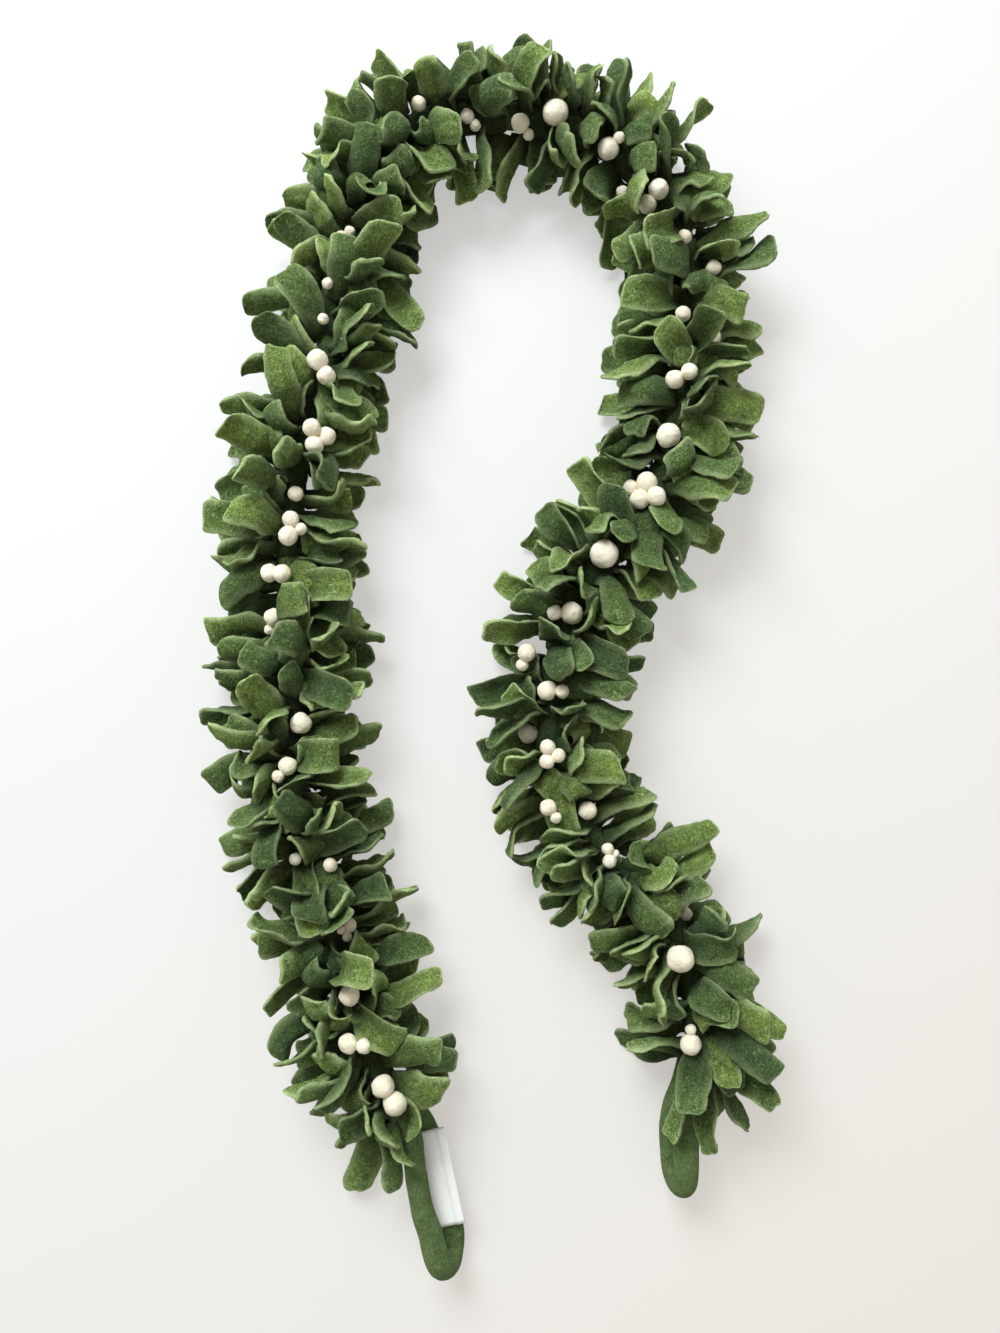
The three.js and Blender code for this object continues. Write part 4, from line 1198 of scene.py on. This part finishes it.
def loop_slopes(a, b, c, d):
    """Slopes at the middle two of four points that lie at uneven distances."""
    before, here, after = [(q - p).length ** LOOP_POWER for p, q in ((a, b), (b, c), (c, d))]
    leave = ((b - a) / before - (c - a) / (before + here) + (c - b) / here) * here
    reach = ((c - b) / here - (d - b) / (here + after) + (d - c) / after) * here
    return leave, reach


def loop_line(station, points):
    """A loop's line, starting just beyond the core's end."""
    middle, along, _ = core_at(station)
    start = middle + along * (JOINT_GAP if station > 0 else -JOINT_GAP)
    return curve_through([start, *points], LOOP_STEPS, loop_slopes)


rope_piece("rope_core", "core_rope", [place_at(s) for s in np.linspace(0, CORE_LENGTH, 500)], 1.0)
# The labelled loop is drawn in where the label is sewn to it, and full again at its bend.
pinch = 0.86 + 0.16 * eased(0.16, 0.34, np.linspace(0, 1, LOOP_STEPS + 1))
rope_piece("loop_left", "hanging_loop_left", loop_line(0, [*LEFT_LOOP, LEFT_END]), 2.0, pinch)
rope_piece("loop_right", "hanging_loop_right", loop_line(CORE_LENGTH, [*RIGHT_LOOP, RIGHT_END]),
           3.0)

# %% [markdown]
# ## The berries
#
# Felted wool balls are not quite round. Each is a ball of fine faces pushed in and out by
# broad noise, and pressed into its neighbours.


# %% Berry pieces
def felt_ball(centre, radius, seed):
    """A ball's corners and faces, a little lumpy."""
    shape = bmesh.new()
    bmesh.ops.create_icosphere(shape, subdivisions=4, radius=1)
    points = []
    for vertex in shape.verts:
        lump = noise.noise(vertex.co * 1.1 + Vector((seed, 0, 0))) * 0.1
        dent = noise.noise(vertex.co * 3.1 + Vector((0, seed, 0))) * 0.035
        points.append(np.array(centre) + np.array(vertex.co) * radius * (1 + lump + dent))
    faces = [[v.index for v in face.verts] for face in shape.faces]
    shape.free()
    return points, faces


berry_count = 0
for i, cluster in enumerate([*balls, small_balls]):
    points, faces = [], []
    for centre, radius in cluster:
        more, sides = felt_ball(centre, radius, berry_count * 7.3)
        faces += [[len(points) + k for k in side] for side in sides]
        points += more
        berry_count += 1
    if i < len(balls):
        piece = mesh_piece(numbered("balls", i), points, faces, cream_felt)
        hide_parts(numbered("berries", i))
    else:
        piece = mesh_piece("small_balls", points, faces, cream_felt)
    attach(piece, "root")
print("berries:", berry_count)

# %% [markdown]
# ## The label
#
# A strip of white satin ribbon is folded along its length and caught under the loop. It is
# modelled as the ribbon's own section, one layer over the other, drawn out along the fold.
# Satin shines across its threads, so its roughness is low and stretched one way.

# %% Satin label
satin, satin_tree, satin_shader = nodes_of("white_satin")
satin_coords = satin_tree.nodes.new("ShaderNodeTexCoord").outputs["Object"]
satin_thread = noise_at(satin_tree, satin_coords, 1500, 2, 0.6, (1, 0.12, 1))
satin_colour = mix(satin_tree, ramp(satin_tree, satin_thread, 0.3, 0.7, 0, 1),
                   linear(242, 241, 237), linear(251, 251, 248))
satin_tree.links.new(satin_colour, satin_shader.inputs["Base Color"])
satin_bump = add_node(satin_tree, "ShaderNodeBump", Height=satin_thread, Strength=0.25,
                      Distance=0.0002)
satin_tree.links.new(satin_bump.outputs[0], satin_shader.inputs["Normal"])
satin_shader.inputs["Roughness"].default_value = 0.42
satin_shader.inputs["Anisotropic"].default_value = 0.5
satin_shader.inputs["Sheen Weight"].default_value = 0.1
print("satin ready")


# %% Label piece
LABEL = {"width": 26, "length": 72, "height": 18.6, "sheet": 0.45, "bow": 1.25}
LABEL_CORNER = Vector((-67, -347, 0))
LABEL_TURN = 12.5
LABEL_ROWS = 25


def label_section():
    """The ribbon's middle line from the top edge round the fold to the lower edge: x, z."""
    width, bow = LABEL["width"], LABEL["bow"]
    top = [(x, bow * (1.2 + 0.7 * float(eased(width - 7, width - 5, x))))
           for x in (0.4, 4, 8, 12, 16, 18.6, 19.4, 20.2, 21, 22.5, width - bow)]
    fold = [(width - bow + bow * math.sin(a), bow * (1 + 0.9 * math.cos(a)))
            for a in np.linspace(0.25, math.pi - 0.25, 7)]
    low = [(x, 0.1 * bow + 0.1) for x in np.linspace(width - bow, 0, 9)]
    return top + fold + low


section = label_section()
size = len(section)
points = []  # row by row: along the upper face, and back along the lower one
for i in range(LABEL_ROWS):
    down = i / (LABEL_ROWS - 1)
    for side in (1, -1):
        for k in range(size)[::side]:
            before, after = section[max(k - 1, 0)], section[min(k + 1, size - 1)]
            slope = Vector((after[0] - before[0], after[1] - before[1])).normalized()
            x, z = section[k]
            out = Vector((-slope.y, slope.x)) * LABEL["sheet"] / 2 * side
            wave = 0.25 * math.sin(5.2 * down + 0.16 * x) * min(1, x / 8)
            spot = Vector((x + out.x, -down * LABEL["length"], z + out.y + wave))
            spot.rotate(Quaternion(UP, math.radians(LABEL_TURN)))
            points.append(spot + LABEL_CORNER + UP * LABEL["height"])
faces = ring_faces(LABEL_ROWS, 2 * size, 0)[:-2]  # without its caps, which are narrow quads here
for first, flip in ((0, True), ((LABEL_ROWS - 1) * 2 * size, False)):
    for k in range(size - 1):
        quad = [first + j for j in (k, k + 1, 2 * size - 2 - k, 2 * size - 1 - k)]
        faces.append(quad[::-1] if flip else quad)
label = mesh_piece("label", points, faces, satin)
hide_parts("blank_label")
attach(label, "root")
print("label faces:", len(faces))

# %% [markdown]
# ## Table, light and camera
#
# The garland lies on a plain white table by a large window above its top left. A big soft
# lamp stands for the window and a pale sky fills in, both at a plain level. The table and
# the backdrop are white because of their own colour as the camera sees it, and not because
# of more light. The table's white carries a painted falloff of the window's light: cooler and
# brighter towards the top left, warmer and a little darker away from it. The camera looks
# straight down.

# %% Table
def seen_rays(tree):
    """1 where the camera sees a thing, straight or in gloss or glass; 0 for the light it sends."""
    rays = tree.nodes.new("ShaderNodeLightPath").outputs
    seen = math_node(tree, "MAXIMUM", rays["Is Camera Ray"], rays["Is Glossy Ray"])
    return math_node(tree, "MAXIMUM", seen, rays["Is Transmission Ray"])


# The cool and warm colours are the two ends of a painted falloff of the window's light across the
# table.
FLOOR = {"size": 8.0, "cool": (251, 252, 252), "warm": (250, 245, 238), "albedo": 0.8,
         "seen_albedo": 0.36, "glow": 0.5}
floor_mesh = bpy.data.meshes.new("table")
half_floor = FLOOR["size"] / 2
floor_mesh.from_pydata([(-half_floor, -half_floor, 0), (half_floor, -half_floor, 0),
                        (half_floor, half_floor, 0), (-half_floor, half_floor, 0)],
                       [], [(0, 1, 2, 3)])
floor = bpy.data.objects.new("table", floor_mesh)
scene.collection.objects.link(floor)
white, white_tree, white_shader = nodes_of("white_table")
spread = white_tree.nodes.new("ShaderNodeTexCoord").outputs["Object"]
# Painted light: the table's white runs from cooler and brighter at the top left, towards the
# window, to warmer and darker at the bottom right.
parts = add_node(white_tree, "ShaderNodeSeparateXYZ", Vector=spread)
slant = math_node(white_tree, "SUBTRACT", parts.outputs["X"], parts.outputs["Y"])
shade = ramp(white_tree, slant, -0.8, 0.8, 0, 1)
white_with_painted_falloff = mix(white_tree, shade, linear(*FLOOR["cool"]), linear(*FLOOR["warm"]))
seen = seen_rays(white_tree)
albedo = ramp(white_tree, seen, 0, 1, FLOOR["albedo"], FLOOR["seen_albedo"])
plain = mix(white_tree, 1.0, white_with_painted_falloff, grey_of(white_tree, albedo), "MULTIPLY")
white_tree.links.new(plain, white_shader.inputs["Base Color"])
white_tree.links.new(white_with_painted_falloff, white_shader.inputs["Emission Color"])
glow = math_node(white_tree, "MULTIPLY", seen, FLOOR["glow"])
white_tree.links.new(glow, white_shader.inputs["Emission Strength"])
white_shader.inputs["Roughness"].default_value = 0.6
white_shader.inputs["Specular IOR Level"].default_value = 0.2
floor_mesh.materials.append(white)
print("table", FLOOR["size"], "m wide")

# %% Light
world = bpy.data.worlds.new("sky")
scene.world = world
world.use_nodes = True
sky = world.node_tree.nodes["Background"]
sky.inputs["Color"].default_value = (1.0, 0.975, 0.92, 1)
sky.inputs["Strength"].default_value = 0.52
backdrop = add_node(world.node_tree, "ShaderNodeBackground", Color=(1, 1, 1, 1), Strength=1.0)
either = world.node_tree.nodes.new("ShaderNodeMixShader")
world.node_tree.links.new(seen_rays(world.node_tree), either.inputs[0])
world.node_tree.links.new(sky.outputs[0], either.inputs[1])
world.node_tree.links.new(backdrop.outputs[0], either.inputs[2])
world.node_tree.links.new(either.outputs[0], world.node_tree.nodes["World Output"].inputs[0])


def soft_lamp(name, place, aim, size, power, colour):
    lamp = bpy.data.lights.new(name, "AREA")
    lamp.shape, lamp.size, lamp.size_y = "RECTANGLE", *size
    lamp.energy, lamp.color = power, colour
    holder = bpy.data.objects.new(name, lamp)
    holder.location = place
    holder.rotation_euler = (Vector(aim) - Vector(place)).to_track_quat("-Z", "Y").to_euler()
    scene.collection.objects.link(holder)
    print(name, power, "watts")


soft_lamp("window", (-0.8, 1.8, 1.8), (0, 0, 0), (1.5, 1.1), 98, (0.88, 0.95, 1.0))

# %% Camera
CAMERA_HEIGHT = 0.8
HALF_VIEW = 0.76 * 0.6665  # half the height of what the camera sees on the table
camera_data = bpy.data.cameras.new("camera")
camera_data.sensor_fit = "VERTICAL"
camera_data.angle = 2 * math.atan(HALF_VIEW / CAMERA_HEIGHT)
camera = bpy.data.objects.new("camera", camera_data)
camera.location = (SHIFT[0], SHIFT[1], CAMERA_HEIGHT)  # over the origin of the route
scene.collection.objects.link(camera)
scene.camera = camera
scene.view_settings.view_transform = "Standard"
print("view angle", round(math.degrees(camera_data.angle), 1))
